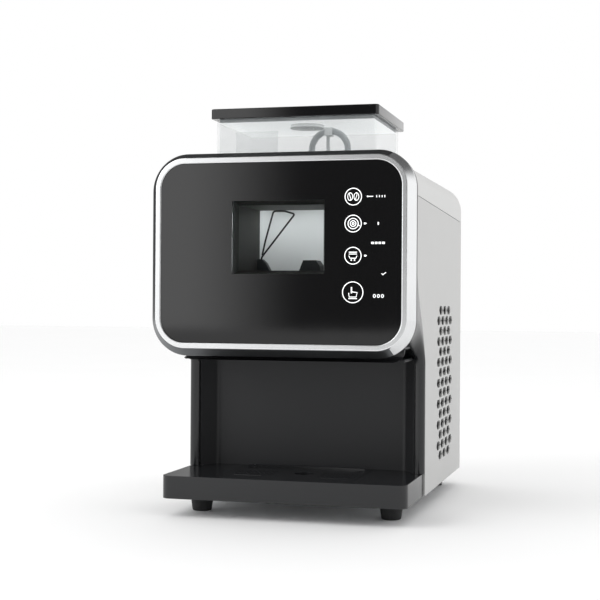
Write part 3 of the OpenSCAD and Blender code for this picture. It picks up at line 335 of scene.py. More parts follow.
def new_piece(name, mesh, finish, body, smooth_deg=35):
    """Links a mesh as an object with a finish and lets it ride on a body."""
    piece = bpy.data.objects.new(name, mesh)
    bpy.context.scene.collection.objects.link(piece)
    mesh.materials.clear()
    mesh.materials.append(FINISHES[finish])
    mesh.polygons.foreach_set("use_smooth", [True] * len(mesh.polygons))
    mesh.set_sharp_from_angle(angle=math.radians(smooth_deg))
    mesh.update()
    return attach(piece, body)


def mesh_of(bm, name):
    """Turns a bmesh into a mesh with outward normals."""
    bmesh.ops.recalc_face_normals(bm, faces=bm.faces)
    mesh = bpy.data.meshes.new(name)
    bm.to_mesh(mesh)
    bm.free()
    return mesh


def apply_modifiers(piece):
    """Replaces a piece's mesh by its evaluated mesh."""
    bpy.context.view_layer.update()
    graph = bpy.context.evaluated_depsgraph_get()
    done = bpy.data.meshes.new_from_object(piece.evaluated_get(graph))
    piece.modifiers.clear()
    piece.data = done


def soften(node, width_mm, finish, suffix="skin", segments=2, angle_deg=30, flat=False,
           reshape=None):
    """Stands for a CAD node: its own shape with every hard edge rounded off."""
    bm = bmesh.new()
    bm.from_mesh(NODES[node].data)
    bmesh.ops.remove_doubles(bm, verts=bm.verts, dist=1e-6)
    bmesh.ops.dissolve_limit(bm, angle_limit=math.radians(0.6), verts=bm.verts, edges=bm.edges)
    if reshape:
        reshape(bm)
    piece = new_piece(f"{node}_{suffix}", mesh_of(bm, node + "_" + suffix), finish,
                      body_of_node(node))
    bevel = piece.modifiers.new("edges", "BEVEL")
    bevel.width = width_mm * MM
    bevel.segments = segments
    bevel.limit_method = "ANGLE"
    bevel.angle_limit = math.radians(angle_deg)
    bevel.use_clamp_overlap = True
    bevel.harden_normals = True
    bevel.miter_outer = "MITER_ARC"
    apply_modifiers(piece)
    if flat:
        piece.data.polygons.foreach_set("use_smooth", [False] * len(piece.data.polygons))
    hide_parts(node)
    return piece


def corner_outline(half_w, z_low, z_high, radius, steps=20):
    """Points of a rounded rectangle in X and Z, anticlockwise from the right-hand lower corner."""
    points = []
    corners = [(half_w - radius, z_low + radius, -90), (half_w - radius, z_high - radius, 0),
               (radius - half_w, z_high - radius, 90), (radius - half_w, z_low + radius, 180)]
    for x, z, start in corners:
        for i in range(steps + 1):
            a = math.radians(start + 90 * i / steps)
            points.append((x + radius * math.cos(a), z + radius * math.sin(a)))
    return points


def fascia_ring(inset, radius, steps=28):
    """The fascia's outline moved inwards by inset; outwards it sits slightly low, like the flank."""
    low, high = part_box("glass_panel")
    edge = GLASS_INSET * MM
    half = highest("side_panel_right").x
    spread = max(0.0, -inset)
    z_low = low.z - edge + inset - 0.14 * spread
    z_high = high.z + edge - inset - 0.24 * spread
    return corner_outline(half - inset, z_low, z_high, radius - inset, steps)


def swept_frame(name, node, profile, finish, steps=28):
    """Closed frame round the fascia; profile is (inset, depth behind the front) in mm."""
    front = lowest("chrome_bezel").y
    bm = bmesh.new()
    rings = []
    for inset, depth in profile:
        ring = fascia_ring(inset * MM, CORNER_R * MM, steps)
        rings.append([bm.verts.new((x, front + depth * MM, z)) for x, z in ring])
    count = len(rings[0])
    for a, b in zip(rings, rings[1:] + rings[:1]):
        for i in range(count):
            j = (i + 1) % count
            bm.faces.new((a[i], a[j], b[j], b[i]))
    piece = new_piece(name, mesh_of(bm, name), finish, body_of_node(node), 25)
    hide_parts(node)
    return piece


def ribbon(bm, points, width, closed, y_front, thick):
    """Adds a flat printed line that follows points in X and Z."""
    count = len(points)
    sides = []
    for i, point in enumerate(points):
        before = points[i - 1] if closed or i else point
        after = points[(i + 1) % count] if closed or i < count - 1 else point
        along = (Vector(after) - Vector(before)).normalized()
        across = Vector((-along.y, along.x)) * width / 2
        p = Vector(point)
        sides.append([bm.verts.new((q.x, y, q.y)) for q in (p - across, p + across)
                      for y in (y_front, y_front + thick)])
    pairs = list(zip(sides, sides[1:])) + ([(sides[-1], sides[0])] if closed else [])
    for a, b in pairs:
        for i, j in ((0, 1), (1, 3), (3, 2), (2, 0)):
            bm.faces.new((a[i], a[j], b[j], b[i]))
    if not closed:
        for end in (sides[0], sides[-1]):
            bm.faces.new((end[0], end[1], end[3], end[2]))


def disc_points(x, z, radius_x, radius_z, count=40, start=0, turn=360):
    """Points of an arc or ellipse in X and Z."""
    whole = abs(turn) >= 360
    last = count if whole else count - 1
    return [(x + radius_x * math.cos(math.radians(start + turn * i / last)),
             z + radius_z * math.sin(math.radians(start + turn * i / last))) for i in range(count)]


def tube_curve(name, points, radius, finish, body):
    """Smooth round bar through points, as a mesh."""
    curve = bpy.data.curves.new(name, "CURVE")
    curve.dimensions = "3D"
    curve.bevel_depth = radius
    curve.bevel_resolution = 4
    curve.use_fill_caps = True
    spline = curve.splines.new("POLY")
    spline.points.add(len(points) - 1)
    for target, point in zip(spline.points, points):
        target.co = (*point, 1)
    holder = bpy.data.objects.new(name + "_path", curve)
    bpy.context.scene.collection.objects.link(holder)
    bpy.context.view_layer.update()
    mesh = bpy.data.meshes.new_from_object(holder)
    bpy.data.objects.remove(holder)
    mesh.name = name
    return new_piece(name, mesh, finish, body, 60)


def rounded_corners(points, radius, steps=6):
    """A polyline with its corners replaced by short arcs (quadratic blends)."""
    path = [Vector(points[0])]
    for before, corner, after in zip(points, points[1:], points[2:]):
        b, c, a = Vector(before), Vector(corner), Vector(after)
        start = c + (b - c).normalized() * min(radius, (b - c).length / 2)
        end = c + (a - c).normalized() * min(radius, (a - c).length / 2)
        for i in range(steps + 1):
            t = i / steps
            path.append(start * (1 - t) ** 2 + c * 2 * t * (1 - t) + end * t ** 2)
    path.append(Vector(points[-1]))
    return path


# ---------------------------------------------------------------- user values

class MachineColours(bpy.types.PropertyGroup):
    """Colours of the visible finishes, as sRGB hex."""

    housing: bpy.props.StringProperty(name="Housing", description="Front housing, bay and platform",
                                      default="#313235")
    platform: bpy.props.StringProperty(name="Platform", description="Drip platform and pillars",
                                       default="#191a1c")
    bay: bpy.props.StringProperty(name="Cup bay", description="Liner of the cup bay", default="#17181b")
    grille: bpy.props.StringProperty(name="Drip grille", description="Removable drip insert",
                                     default="#1b1c1e")
    surround: bpy.props.StringProperty(name="Window surround", description="Tunnel behind the window",
                                       default="#1c1c19")
    glass: bpy.props.StringProperty(name="Fascia glass", description="Back-painted glass",
                                    default="#0b0b0c")
    chrome: bpy.props.StringProperty(name="Bezel", description="Satin plate of the bezel",
                                     default="#dfe0e1")
    # darker plate on the flank's shaded part: a painted dark reflection
    flank: bpy.props.StringProperty(name="Bezel flank", description="Shaded part of the bezel's flank",
                                    default="#66686a")
    panel: bpy.props.StringProperty(name="Side panels", description="Powder-coated side panels",
                                    default="#bebebd")
    cover: bpy.props.StringProperty(name="Top cover", description="Painted top cover",
                                    default="#c9c9c8")
    lid: bpy.props.StringProperty(name="Tank lid", description="Polished tank lid", default="#0e0e0f")
    liner: bpy.props.StringProperty(name="Chamber liner", description="Light liner behind the window",
                                    default="#dfe1e1")
    rubber: bpy.props.StringProperty(name="Feet", description="Rubber of the feet", default="#161617")
    ink: bpy.props.StringProperty(name="Icons", description="Printed icons", default="#f4f5f5")


class MachineSizes(bpy.types.PropertyGroup):
    """Fine sizes that the CAD frame doesn't hold."""

    edge: bpy.props.FloatProperty(name="Moulded edge", description="Rounding of moulded edges, in mm",
                                  default=0.9, min=0.1, max=3)
    sheet_edge: bpy.props.FloatProperty(name="Sheet edge", description="Rounding of sheet edges, in mm",
                                        default=0.35, min=0.1, max=1)
    bezel_round: bpy.props.FloatProperty(name="Bezel rounding",
                                         description="Front rounding of the bezel",
                                         default=0.0009, unit="LENGTH")
    key_r: bpy.props.FloatProperty(name="Key ring", description="Radius of a touch key's ring",
                                   default=0.0095, unit="LENGTH")
    big_key_r: bpy.props.FloatProperty(name="Lower key ring",
                                       description="Radius of the lowest key's ring",
                                       default=0.0118, unit="LENGTH")
    line: bpy.props.FloatProperty(name="Ink line", description="Width of a printed line",
                                  default=0.00095, unit="LENGTH")


class StageValues(bpy.types.PropertyGroup):
    """Camera and light."""

    camera_place: bpy.props.FloatVectorProperty(name="Camera place", description="Place of the camera",
                                                default=(0.4134, -1.6582, 0.2517), unit="LENGTH")
    yaw: bpy.props.FloatProperty(name="Yaw", description="Turn of the camera to the left",
                                 default=0.2617, unit="ROTATION")
    pitch: bpy.props.FloatProperty(name="Pitch", description="Upward tilt", default=0.0042,
                                   unit="ROTATION")
    roll: bpy.props.FloatProperty(name="Roll", description="Roll of the camera", default=0.0066,
                                  unit="ROTATION")
    lens: bpy.props.FloatProperty(name="Lens", description="Focal length in mm on a 36 mm sensor",
                                  default=78.66)
    bright: bpy.props.FloatProperty(name="Room", description="Brightness of the white studio walls",
                                    default=1.12)
    panel: bpy.props.FloatProperty(name="Left panel",
                                   description="Brightness of the mirrored left panel",
                                   default=1.8)
    chamber: bpy.props.FloatProperty(name="Chamber lamp",
                                     description="Power of the lamp in the chamber",
                                     default=0.068, unit="POWER")
    dark: bpy.props.FloatProperty(name="Room front",
                                  description="Brightness of the room behind the camera",
                                  default=0.12)


# ------------------------------------------------------------------ operators

class COFFEE_OT_stage(bpy.types.Operator):
    """Camera at the product view, pale floor and white studio surroundings"""

    bl_idname = "coffee.stage"
    bl_label = "Stage"

    def execute(self, context):
        v = context.scene.coffee_stage
        self.camera(context, v)
        self.floor(context)
        self.world(context, v)
        self.lamps(context)
        self.chamber_lamp(context, v)
        context.scene.view_settings.view_transform = "Standard"
        return {"FINISHED"}

    def camera(self, context, v):
        """Camera from its place, yaw to the left, pitch and roll."""
        sy, cy = math.sin(-v.yaw), math.cos(v.yaw)
        ahead = Vector((sy * math.cos(v.pitch), cy * math.cos(v.pitch), math.sin(v.pitch)))
        right = Vector((cy, -sy, 0))
        up = right.cross(ahead)
        right_r = right * math.cos(v.roll) + up * math.sin(v.roll)
        up_r = up * math.cos(v.roll) - right * math.sin(v.roll)
        data = bpy.data.cameras.new("product_camera")
        data.sensor_width = 36
        data.lens = v.lens
        camera = bpy.data.objects.new("product_camera", data)
        context.scene.collection.objects.link(camera)
        turn = Matrix((right_r, up_r, -ahead)).transposed().to_4x4()
        camera.matrix_world = Matrix.Translation(Vector(v.camera_place)) @ turn
        context.scene.camera = camera

    def floor(self, context):
        """Large pale matt floor."""
        bm = bmesh.new()
        bmesh.ops.create_grid(bm, x_segments=1, y_segments=1, size=12)
        mesh = mesh_of(bm, "floor")
        floor = bpy.data.objects.new("floor", mesh)
        context.scene.collection.objects.link(floor)
        mesh.materials.append(finish_material("matt_white_sweep", "#f6f6f6", 0.85, ior=1.3, grain_mm=3,
                                              grain_depth=0.01, mottle=0.004, mottle_mm=400))

    def world(self, context, v):
        """White surroundings; mirrored rays see a darker room with a bright panel on the left."""
        world = bpy.data.worlds.new("white_studio")
        context.scene.world = world
        world.use_nodes = True
        tree = world.node_tree
        tree.nodes.clear()
        way = add_node(tree, "ShaderNodeTexCoord").outputs["Generated"]
        axes = add_node(tree, "ShaderNodeSeparateXYZ", Vector=way).outputs
        ahead = math_node(tree, "MULTIPLY", i0=axes["Y"], i1=-1.0)
        ahead = math_node(tree, "MAXIMUM", i0=ahead.outputs[0],
                         i1=0.001)
        slope = math_node(tree, "DIVIDE", i0=axes["X"],
                         i1=ahead.outputs[0]).outputs[0]

        def step(value, start, end):
            new = add_node(tree, "ShaderNodeMapRange", {"interpolation_type": "SMOOTHSTEP"},
                           Value=value)
            new.inputs["From Min"].default_value = start
            new.inputs["From Max"].default_value = end
            return new.outputs[0]

        left = step(slope, -0.26, -0.37)
        right = step(slope, 0.35, 0.8)
        above = step(axes["Z"], 0.3, 0.65)
        behind = step(axes["Y"], -0.08, 0.0)
        total = left
        for part in (right, above, behind):
            total = math_node(tree, "MAXIMUM", i0=total,
                             i1=part).outputs[0]
        room = ramp(tree, total, [(0.0, [v.dark] * 3 + [1]), (1.0, [v.bright] * 3 + [1])])
        dark_top = step(axes["Z"], 0.62, 0.3)
        right_back = step(axes["X"], -0.45, -0.1)
        shine = math_node(tree, "MULTIPLY", i0=behind, i1=right_back)
        shine = math_node(tree, "MAXIMUM", i0=shine.outputs[0],
                         i1=right)
        front_left = math_node(tree, "SUBTRACT", i0=1.0, i1=behind)
        front_left = math_node(tree, "MULTIPLY", i0=left,
                              i1=front_left.outputs[0])
        front_left = math_node(tree, "MULTIPLY", i0=v.panel / v.bright,
                              i1=front_left.outputs[0])
        shine = math_node(tree, "MAXIMUM", i0=shine.outputs[0],
                         i1=front_left.outputs[0])
        shine = math_node(tree, "MULTIPLY", i0=shine.outputs[0],
                         i1=dark_top)
        shine = math_node(tree, "MULTIPLY_ADD", i0=shine.outputs[0],
                         i1=v.bright, i2=v.dark)
        paths = add_node(tree, "ShaderNodeLightPath").outputs
        direct = math_node(tree, "LESS_THAN", i0=paths["Transmission Depth"],
                          i1=0.5)
        mirrored = math_node(tree, "MULTIPLY", i0=paths["Is Glossy Ray"],
                            i1=direct.outputs[0]).outputs[0]
        lit = add_node(tree, "ShaderNodeMix", {"data_type": "RGBA"}, i0=mirrored, i6=room,
                       i7=shine.outputs[0]).outputs[2]
        mixed = add_node(tree, "ShaderNodeMix", {"data_type": "RGBA"}, i0=paths["Is Camera Ray"],
                         i6=lit,
                         i7=(1, 1, 1, 1)).outputs[2]
        shader = add_node(tree, "ShaderNodeBackground", Color=mixed, Strength=1.0)
        add_node(tree, "ShaderNodeOutputWorld", Surface=shader.outputs[0])

    def lamps(self, context):
        """Large soft box high on the left front."""
        data = bpy.data.lights.new("left_soft_box", "AREA")
        data.shape = "RECTANGLE"
        data.size, data.size_y = 1.6, 1.6
        data.energy = 22
        lamp = bpy.data.objects.new("left_soft_box", data)
        context.scene.collection.objects.link(lamp)
        place = Vector((-1.9, -1.7, 1.9))
        lamp.matrix_world = Matrix.Translation(place) @ (
            Vector((0, 0, 0.2)) - place).to_track_quat("-Z", "Y").to_matrix().to_4x4()
        lamp.visible_camera = False


    def chamber_lamp(self, context, v):
        """Assumed lamp under the roof of the view chamber."""
        low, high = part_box("window_surround")
        data = bpy.data.lights.new("chamber_lamp", "AREA")
        data.shape = "RECTANGLE"
        data.size, data.size_y = 0.08, 0.02
        data.energy = v.chamber
        lamp = bpy.data.objects.new("chamber_lamp", data)
        context.scene.collection.objects.link(lamp)
        place = Vector(((low.x + high.x) / 2, high.y - 0.03, high.z - 0.008))
        aim = Vector((place.x, high.y + 0.02, low.z + 0.03))
        lamp.matrix_world = Matrix.Translation(place) @ (
            aim - place).to_track_quat("-Z", "Y").to_matrix().to_4x4()
        lamp.visible_camera = False
        lamp.visible_glossy = False


class COFFEE_OT_finishes(bpy.types.Operator):
    """Makes the materials and gives one to every CAD node"""

    bl_idname = "coffee.finishes"
    bl_label = "Finishes"

    def execute(self, context):
        FINISHES.update(make_materials(context.scene.coffee_colours))
        given = set()
        for finish, nodes in FINISH_OF_NODE.items():
            for name in nodes:
                slots = NODES[name].data.materials
                slots.clear()
                slots.append(FINISHES[finish])
                given.add(name)
        missing = set(NODES) - given
        if missing:
            raise RuntimeError(f"no finish for {sorted(missing)}")
        return {"FINISHED"}


class COFFEE_OT_fascia(bpy.types.Operator):
    """Chrome bezel, glass and the printed touch keys"""

    bl_idname = "coffee.fascia"
    bl_label = "Fascia"

    def execute(self, context):
        sizes = context.scene.coffee_sizes
        self.bezel(sizes)
        soften("glass_panel", 0.25, "glass")
        self.keys(sizes)
        return {"FINISHED"}

    def bezel(self, sizes):
        """Front face with soft edges, a flank that widens to the rear and a hollow back."""
        depth = (highest("chrome_bezel").y - lowest("chrome_bezel").y) / MM
        spread = (highest("chrome_bezel").x - highest("side_panel_right").x) / MM
        face, r = 6.5, sizes.bezel_round / MM
        flank = [(-spread * t, (depth - 2) * t) for t in (0.97, 0.92, 0.5, 0.14, 0.09)]
        profile = [(-spread, depth), (-spread, depth - 1.2), (-spread, depth - 1.7)] + flank + [
                   (0, 0.3 * r), (0.45 * r, 0.06 * r), (r, 0), (1.6 * r, 0), (face - 1.4, 0),
                   (face - 0.9, 0),
                   (face - 0.35, 0.2), (face, 0.8), (face, 4), (3, 4), (3, depth), (0.4, depth),
                   (0.4, 4.6), (2.4 - spread, depth - 1.6), (2.4 - spread, depth)]
        piece = swept_frame("bezel_trim", "chrome_bezel", profile, "chrome")
        # the flank's left, top and bottom faces, which don't face right, get the darker plate: a painted
        # dark reflection
        piece.data.materials.append(FINISHES["painted_dark_reflection"])
        around = len(piece.data.polygons) // len(profile)
        for face in piece.data.polygons:
            if face.index < around * 8 and face.normal.x < 0.35:
                face.material_index = 1

    def keys(self, sizes):
        """Four ringed keys in a column with small generic marks beside them."""
        low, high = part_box("glass_panel")
        y = low.y - 0.05 * MM
        x = high.x - 55.6 * MM
        drops = [41, 71.5, 107.8, 149.2]
        icons = [self.beans, self.cup_from_above, self.cup_with_steam, self.pressing_hand]
        for i, (drop, icon) in enumerate(zip(drops, icons)):
            r = sizes.big_key_r if i == 3 else sizes.key_r
            z = high.z - drop * MM
            bm = bmesh.new()
            ribbon(bm, disc_points(x, z, r, r, 48), sizes.line, True, y, INK_T)
            icon(bm, x, z, r, sizes.line, y)
            new_piece(f"touch_key_{i + 1}", mesh_of(bm, f"touch_key_{i + 1}"), "ink", "machine")
        bm = bmesh.new()
        self.marks(bm, x, [high.z - d * MM for d in drops], sizes.line, y)
        new_piece("key_marks", mesh_of(bm, "key_marks"), "ink", "machine")

    def beans(self, bm, x, z, r, w, y):
        """Two coffee beans."""
        for s in (-1, 1):
            cx = x + s * 0.38 * r
            ribbon(bm, disc_points(cx, z, 0.3 * r, 0.46 * r, 24), w * 0.8, True, y, INK_T)
            ribbon(bm, [(cx + 0.08 * r * s * math.sin(t), z + 0.4 * r * math.cos(t / 2))
                        for t in [2 * math.pi * i / 12 for i in range(13)]], w * 0.7, False, y, INK_T)

    def cup_from_above(self, bm, x, z, r, w, y):
        """Cup seen from above: rings and a handle."""
        for k in (0.62, 0.34):
            ribbon(bm, disc_points(x, z, k * r, k * r, 32), w, True, y, INK_T)
        ribbon(bm, disc_points(x, z, 0.12 * r, 0.12 * r, 12), w, True, y, INK_T)
        ribbon(bm, [(x + 0.6 * r, z - 0.1 * r), (x + 0.8 * r, z - 0.3 * r)], w, False, y, INK_T)

    def cup_with_steam(self, bm, x, z, r, w, y):
        """Wide cup, rim lines and two drops below."""
        for k in (0.42, 0.2):
            ribbon(bm, [(x - 0.5 * r, z + k * r), (x + 0.5 * r, z + k * r)], w, False, y, INK_T)
        ribbon(bm, [(x - 0.5 * r, z), (x - 0.36 * r, z - 0.3 * r), (x + 0.36 * r, z - 0.3 * r),
                    (x + 0.5 * r, z)], w, False, y, INK_T)
        for s in (-1, 1):
            ribbon(bm, disc_points(x + s * 0.2 * r, z - 0.52 * r, 0.05 * r, 0.05 * r, 10), w, True,
                   y, INK_T)

    def pressing_hand(self, bm, x, z, r, w, y):
        """Hand with one raised finger."""
        ribbon(bm, [(x - 0.12 * r, z - 0.1 * r), (x - 0.12 * r, z + 0.5 * r)], w * 1.5, False, y, INK_T)
        ribbon(bm,
               [(x - 0.4 * r, z - 0.05 * r), (x - 0.34 * r, z - 0.45 * r), (x + 0.34 * r, z - 0.45 * r),
                    (x + 0.44 * r, z - 0.02 * r), (x - 0.1 * r, z + 0.05 * r)], w, False, y, INK_T)
        ribbon(bm, [(x - 0.42 * r, z - 0.6 * r), (x + 0.42 * r, z - 0.6 * r)], w, False, y, INK_T)

    def marks(self, bm, x, rows, w, y):
        """Small arrows, dots and level bars right of the keys."""
        t = INK_T

        def bar(bx, bz, length, angle=0.0, width=w * 0.9):
            dx, dz = length / 2 * math.cos(angle), length / 2 * math.sin(angle)
            ribbon(bm, [(bx - dx, bz - dz), (bx + dx, bz + dz)], width, False, y, t)

        def wedge(bx, bz, size):
            ribbon(bm, [(bx - size / 2, bz), (bx + size / 2, bz)], size, False, y, t)
            ribbon(bm, [(bx + size / 2, bz), (bx + size, bz)], size / 2, False, y, t)

        wedge(x + 16.5 * MM, rows[0], 1.6 * MM)
        bar(x + 20.5 * MM, rows[0], 5 * MM)
        for k in range(4):
            bar(x + (27 + 3.1 * k) * MM, rows[0], 2.6 * MM, math.pi / 2)
        wedge(x + 13.5 * MM, rows[1], 2.0 * MM)
        bar(x + 29 * MM, rows[1], 3 * MM, math.pi / 2, 1.4 * MM)
        for k in range(4):
            bar(x + (22.5 + 4.2 * k) * MM, rows[1] - 22 * MM, 3 * MM, 0.0, 2.4 * MM)
        wedge(x + 14 * MM, rows[2], 2.0 * MM)
        bar(x + 34 * MM, rows[2] - 21 * MM, 2.6 * MM, -0.8)
        bar(x + 36.6 * MM, rows[2] - 20 * MM, 4 * MM, 0.6)
        for k in range(3):
            ribbon(bm, disc_points(x + (25 + 4.6 * k) * MM, rows[3] - 4 * MM, 1.3 * MM, 1.7 * MM, 16),
                   w * 0.8, True, y, t)


class COFFEE_OT_housing(bpy.types.Operator):
    """Front housing: ring behind the bezel, blended cheeks and pillars"""

    bl_idname = "coffee.housing"
    bl_label = "Front housing"

    def execute(self, context):
        bezel_low, bezel_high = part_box("chrome_bezel")
        depth = (bezel_high.y - bezel_low.y) / MM
        spread = (bezel_high.x - highest("side_panel_right").x) / MM - 0.5
        ring, seam = depth + 0.6, SEAM_D
        profile = [(5.8, 7), (3.3, 7), (3.3, ring), (0.6 - spread, ring), (-spread, ring + 0.6),
                   (-spread, ring + 8.9), (0.6 - spread, ring + 9.5), (0, ring + 9.5), (0, seam - 0.4),
                   (0.4, seam), (5.8, seam)]
        swept_frame("housing_ring", "front_housing", profile, "abs")
        for side, label in ((-1, "left"), (1, "right")):
            self.pillar(side, label)
        self.floor_plate(bezel_low.y + seam * MM)
        return {"FINISHED"}

    def pillar(self, side, label):
        """Cheek and pillar: the fillet under the fascia sweeps into the pillar's round nose."""
        low = lowest("front_housing")
        front = lowest("chrome_bezel").y
        inner = highest("bay_liner").x + 0.2 * MM
        outer = highest("side_panel_right").x
        nose = (outer - inner) / 2
        middle = (outer + inner) / 2
        fascia_z, radius = lowest("glass_panel").z - GLASS_INSET * MM, CORNER_R * MM
        cheek_y, pillar_y = front + CHEEK_D * MM, front + PILLAR_D * MM
        top_y, seam_y = front + SEAM_D * MM, front + PILLAR_SEAM_D * MM
        arc_low = fascia_z - 24 * MM
        seam_low, seam_high = fascia_z - 27 * MM, fascia_z + 97 * MM

        def column(x):
            """Side profile at x, as (y, z) points."""
            reach = max(0.0, x - outer + radius)
            start_z = fascia_z + radius - math.sqrt(max(0.0, radius ** 2 - reach ** 2))
            back_off = nose - math.sqrt(max(0.0, nose ** 2 - (x - middle) ** 2))
            points = [(top_y - 0.3 * MM, seam_high), (top_y - 0.3 * MM, start_z + 1 * MM)]
            for i in range(19):
                a = math.radians(5 * i)
                points.append((cheek_y + (pillar_y - cheek_y) * math.sin(a) + back_off * math.sin(a) ** 6,
                               arc_low + (start_z - arc_low) * math.cos(a)))
            points.append((pillar_y + back_off, low.z + 0.3 * MM))
            points.append((seam_y, low.z + 0.3 * MM))
            for i in range(17):
                s = i / 16
                ease = 3 * s * s - 2 * s ** 3
                points.append((top_y + (seam_y - top_y) * (1 - ease),
                               seam_low + (seam_high - seam_low) * s))
            return points

        stops = [middle - nose * math.cos(math.radians(9 * i)) for i in range(21)]
        bm = bmesh.new()
        rows = [[bm.verts.new((side * x, y, z)) for y, z in column(x)] for x in stops]
        count = len(rows[0])
        for a, b in zip(rows, rows[1:]):
            for i in range(count):
                j = (i + 1) % count
                bm.faces.new((a[i], a[j], b[j], b[i]))
        bm.faces.new(rows[0])
        bm.faces.new(rows[-1])
        new_piece(f"pillar_{label}", mesh_of(bm, f"pillar_{label}"), "abs_gloss", "machine", 40)

    def floor_plate(self, back):
        """Floor of the brewing compartment, over the cup bay."""
        floor_z = lowest("glass_panel").z - GLASS_INSET * MM
        half = highest("bay_liner").x
        bm = bmesh.new()
        bmesh.ops.create_cube(bm, size=1)
        y0, y1 = back - 1 * MM, lowest("bulkhead").y
        bmesh.ops.scale(bm, vec=(2 * half, y1 - y0, 3 * MM), verts=bm.verts)
        bmesh.ops.translate(bm, vec=(0, (y0 + y1) / 2, floor_z + 1.5 * MM), verts=bm.verts)
        bmesh.ops.bevel(bm, geom=bm.edges, offset=0.4 * MM, segments=1, affect="EDGES")
        new_piece("compartment_floor", mesh_of(bm, "compartment_floor"), "abs", "machine")


class COFFEE_OT_bay(bpy.types.Operator):
    """Cup bay liner and slotted header strip"""

    bl_idname = "coffee.bay"
    bl_label = "Cup bay"

    def execute(self, context):
        sizes = context.scene.coffee_sizes
        self.liner(sizes)
        soften("header_grille", 0.3, "abs_black", reshape=self.round_ends)
        return {"FINISHED"}

    def round_ends(self, bm):
        """Rounds the strip's lower outer corners like the fascia above."""
        low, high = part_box("header_grille")
        corners = [e for e in bm.edges if all(abs(abs(v.co.x) - high.x) < MM / 2
                                              and abs(v.co.z - low.z) < MM / 2 for v in e.verts)]
        bmesh.ops.bevel(bm, geom=corners, offset=13 * MM, segments=8, profile=0.5, affect="EDGES")

    def liner(self, sizes):
        """Liner with splayed side walls, soft folds and a flat ceiling with the spout's hole."""
        low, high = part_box("bay_liner")
        front = lowest("chrome_bezel").y + LINER_D * MM
        back, half = high.y - 3 * MM, high.x
        fold = half - 15.4 * MM
        path = [(-half + 0.6 * MM, front), (-fold, back), (fold, back), (half - 0.6 * MM, front)]
        path = [tuple(p) for p in rounded_corners(path, 4 * MM)]
        plan = [(-half, high.y), (-half, front)] + path + [(half, front), (half, high.y)]
        bm = bmesh.new()
        rows = [[bm.verts.new((x, y, z)) for x, y in plan] for z in (low.z, high.z)]
        count = len(plan)
        for i in range(count):
            j = (i + 1) % count
            bm.faces.new((rows[0][i], rows[0][j], rows[1][j], rows[1][i]))
        for row in rows:
            bm.faces.new(row)
        walls = new_piece("bay_walls", mesh_of(bm, "bay_walls"), "bay", "machine", 30)
        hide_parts("bay_liner")
        bm = bmesh.new()
        bmesh.ops.create_cube(bm, size=1)
        bmesh.ops.scale(bm, vec=(2 * half, back + 1 * MM - low.y, 3 * MM), verts=bm.verts)
        bmesh.ops.translate(bm, vec=(0, (back + 1 * MM + low.y) / 2, high.z - 1.5 * MM), verts=bm.verts)
        bmesh.ops.bevel(bm, geom=bm.edges, offset=sizes.edge * MM, segments=3, affect="EDGES")
        ceiling = new_piece("bay_ceiling", mesh_of(bm, "bay_ceiling"), "bay", "machine")
        spout_low, spout_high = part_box("spout_nozzle")
        bm = bmesh.new()
        radius = (spout_high.x - spout_low.x) / 2 + 1 * MM
        bmesh.ops.create_cone(bm, cap_ends=True, segments=48, radius1=radius, radius2=radius,
                              depth=0.02)
        bmesh.ops.translate(bm, vec=((spout_low.x + spout_high.x) / 2, (spout_low.y + spout_high.y) / 2,
                                     high.z), verts=bm.verts)
        cutter = new_piece("spout_cutter", mesh_of(bm, "spout_cutter"), "bay", "machine")
        cut = ceiling.modifiers.new("spout_hole", "BOOLEAN")
        cut.object = cutter
        apply_modifiers(ceiling)
        bpy.data.objects.remove(cutter)


class COFFEE_OT_platform(bpy.types.Operator):
    """Drip platform, pan, perforated grille and feet"""

    bl_idname = "coffee.platform"
    bl_label = "Drip platform"

    def execute(self, context):
        soften("drip_base", 1.8, "abs_gloss", segments=4)
        soften("drip_pan", 0.6, "pan")
        soften("drip_grille", 0.45, "abs_grille")
        soften("rubber_feet", 1.2, "rubber", segments=3)
        self.ribs()
        return {"FINISHED"}

    def ribs(self):
        """Raised ribs in front of the two perforated zones."""
        top = highest("drip_grille").z - 2.5 * MM
        front = lowest("drip_grille").y
        for i, (x, length) in enumerate(((-50, 34), (55, 34))):
            start = Vector(((x - length / 2) * MM, front + 26 * MM, top))
            end = Vector(((x + length / 2) * MM, front + 26 * MM, top))
            tube_curve(f"grille_rib_{i + 1}", [start, end], 1.1 * MM, "abs_grille", "grille")


class COFFEE_OT_case(bpy.types.Operator):
    """Rear panel, top cover, powder hatch, power inlet and switch"""

    bl_idname = "coffee.case"
    bl_label = "Case"

    def execute(self, context):
        sizes = context.scene.coffee_sizes
        soften("rear_panel", sizes.sheet_edge, "panel", segments=1, flat=True)
        soften("top_cover", 0.6, "cover")
        soften("powder_hatch", 0.6, "cover")
        soften("power_inlet", 0.4, "abs_black")
        soften("switch_unit", 0.4, "abs_black")
        soften("switch_rocker", 0.4, "abs_black")
        return {"FINISHED"}


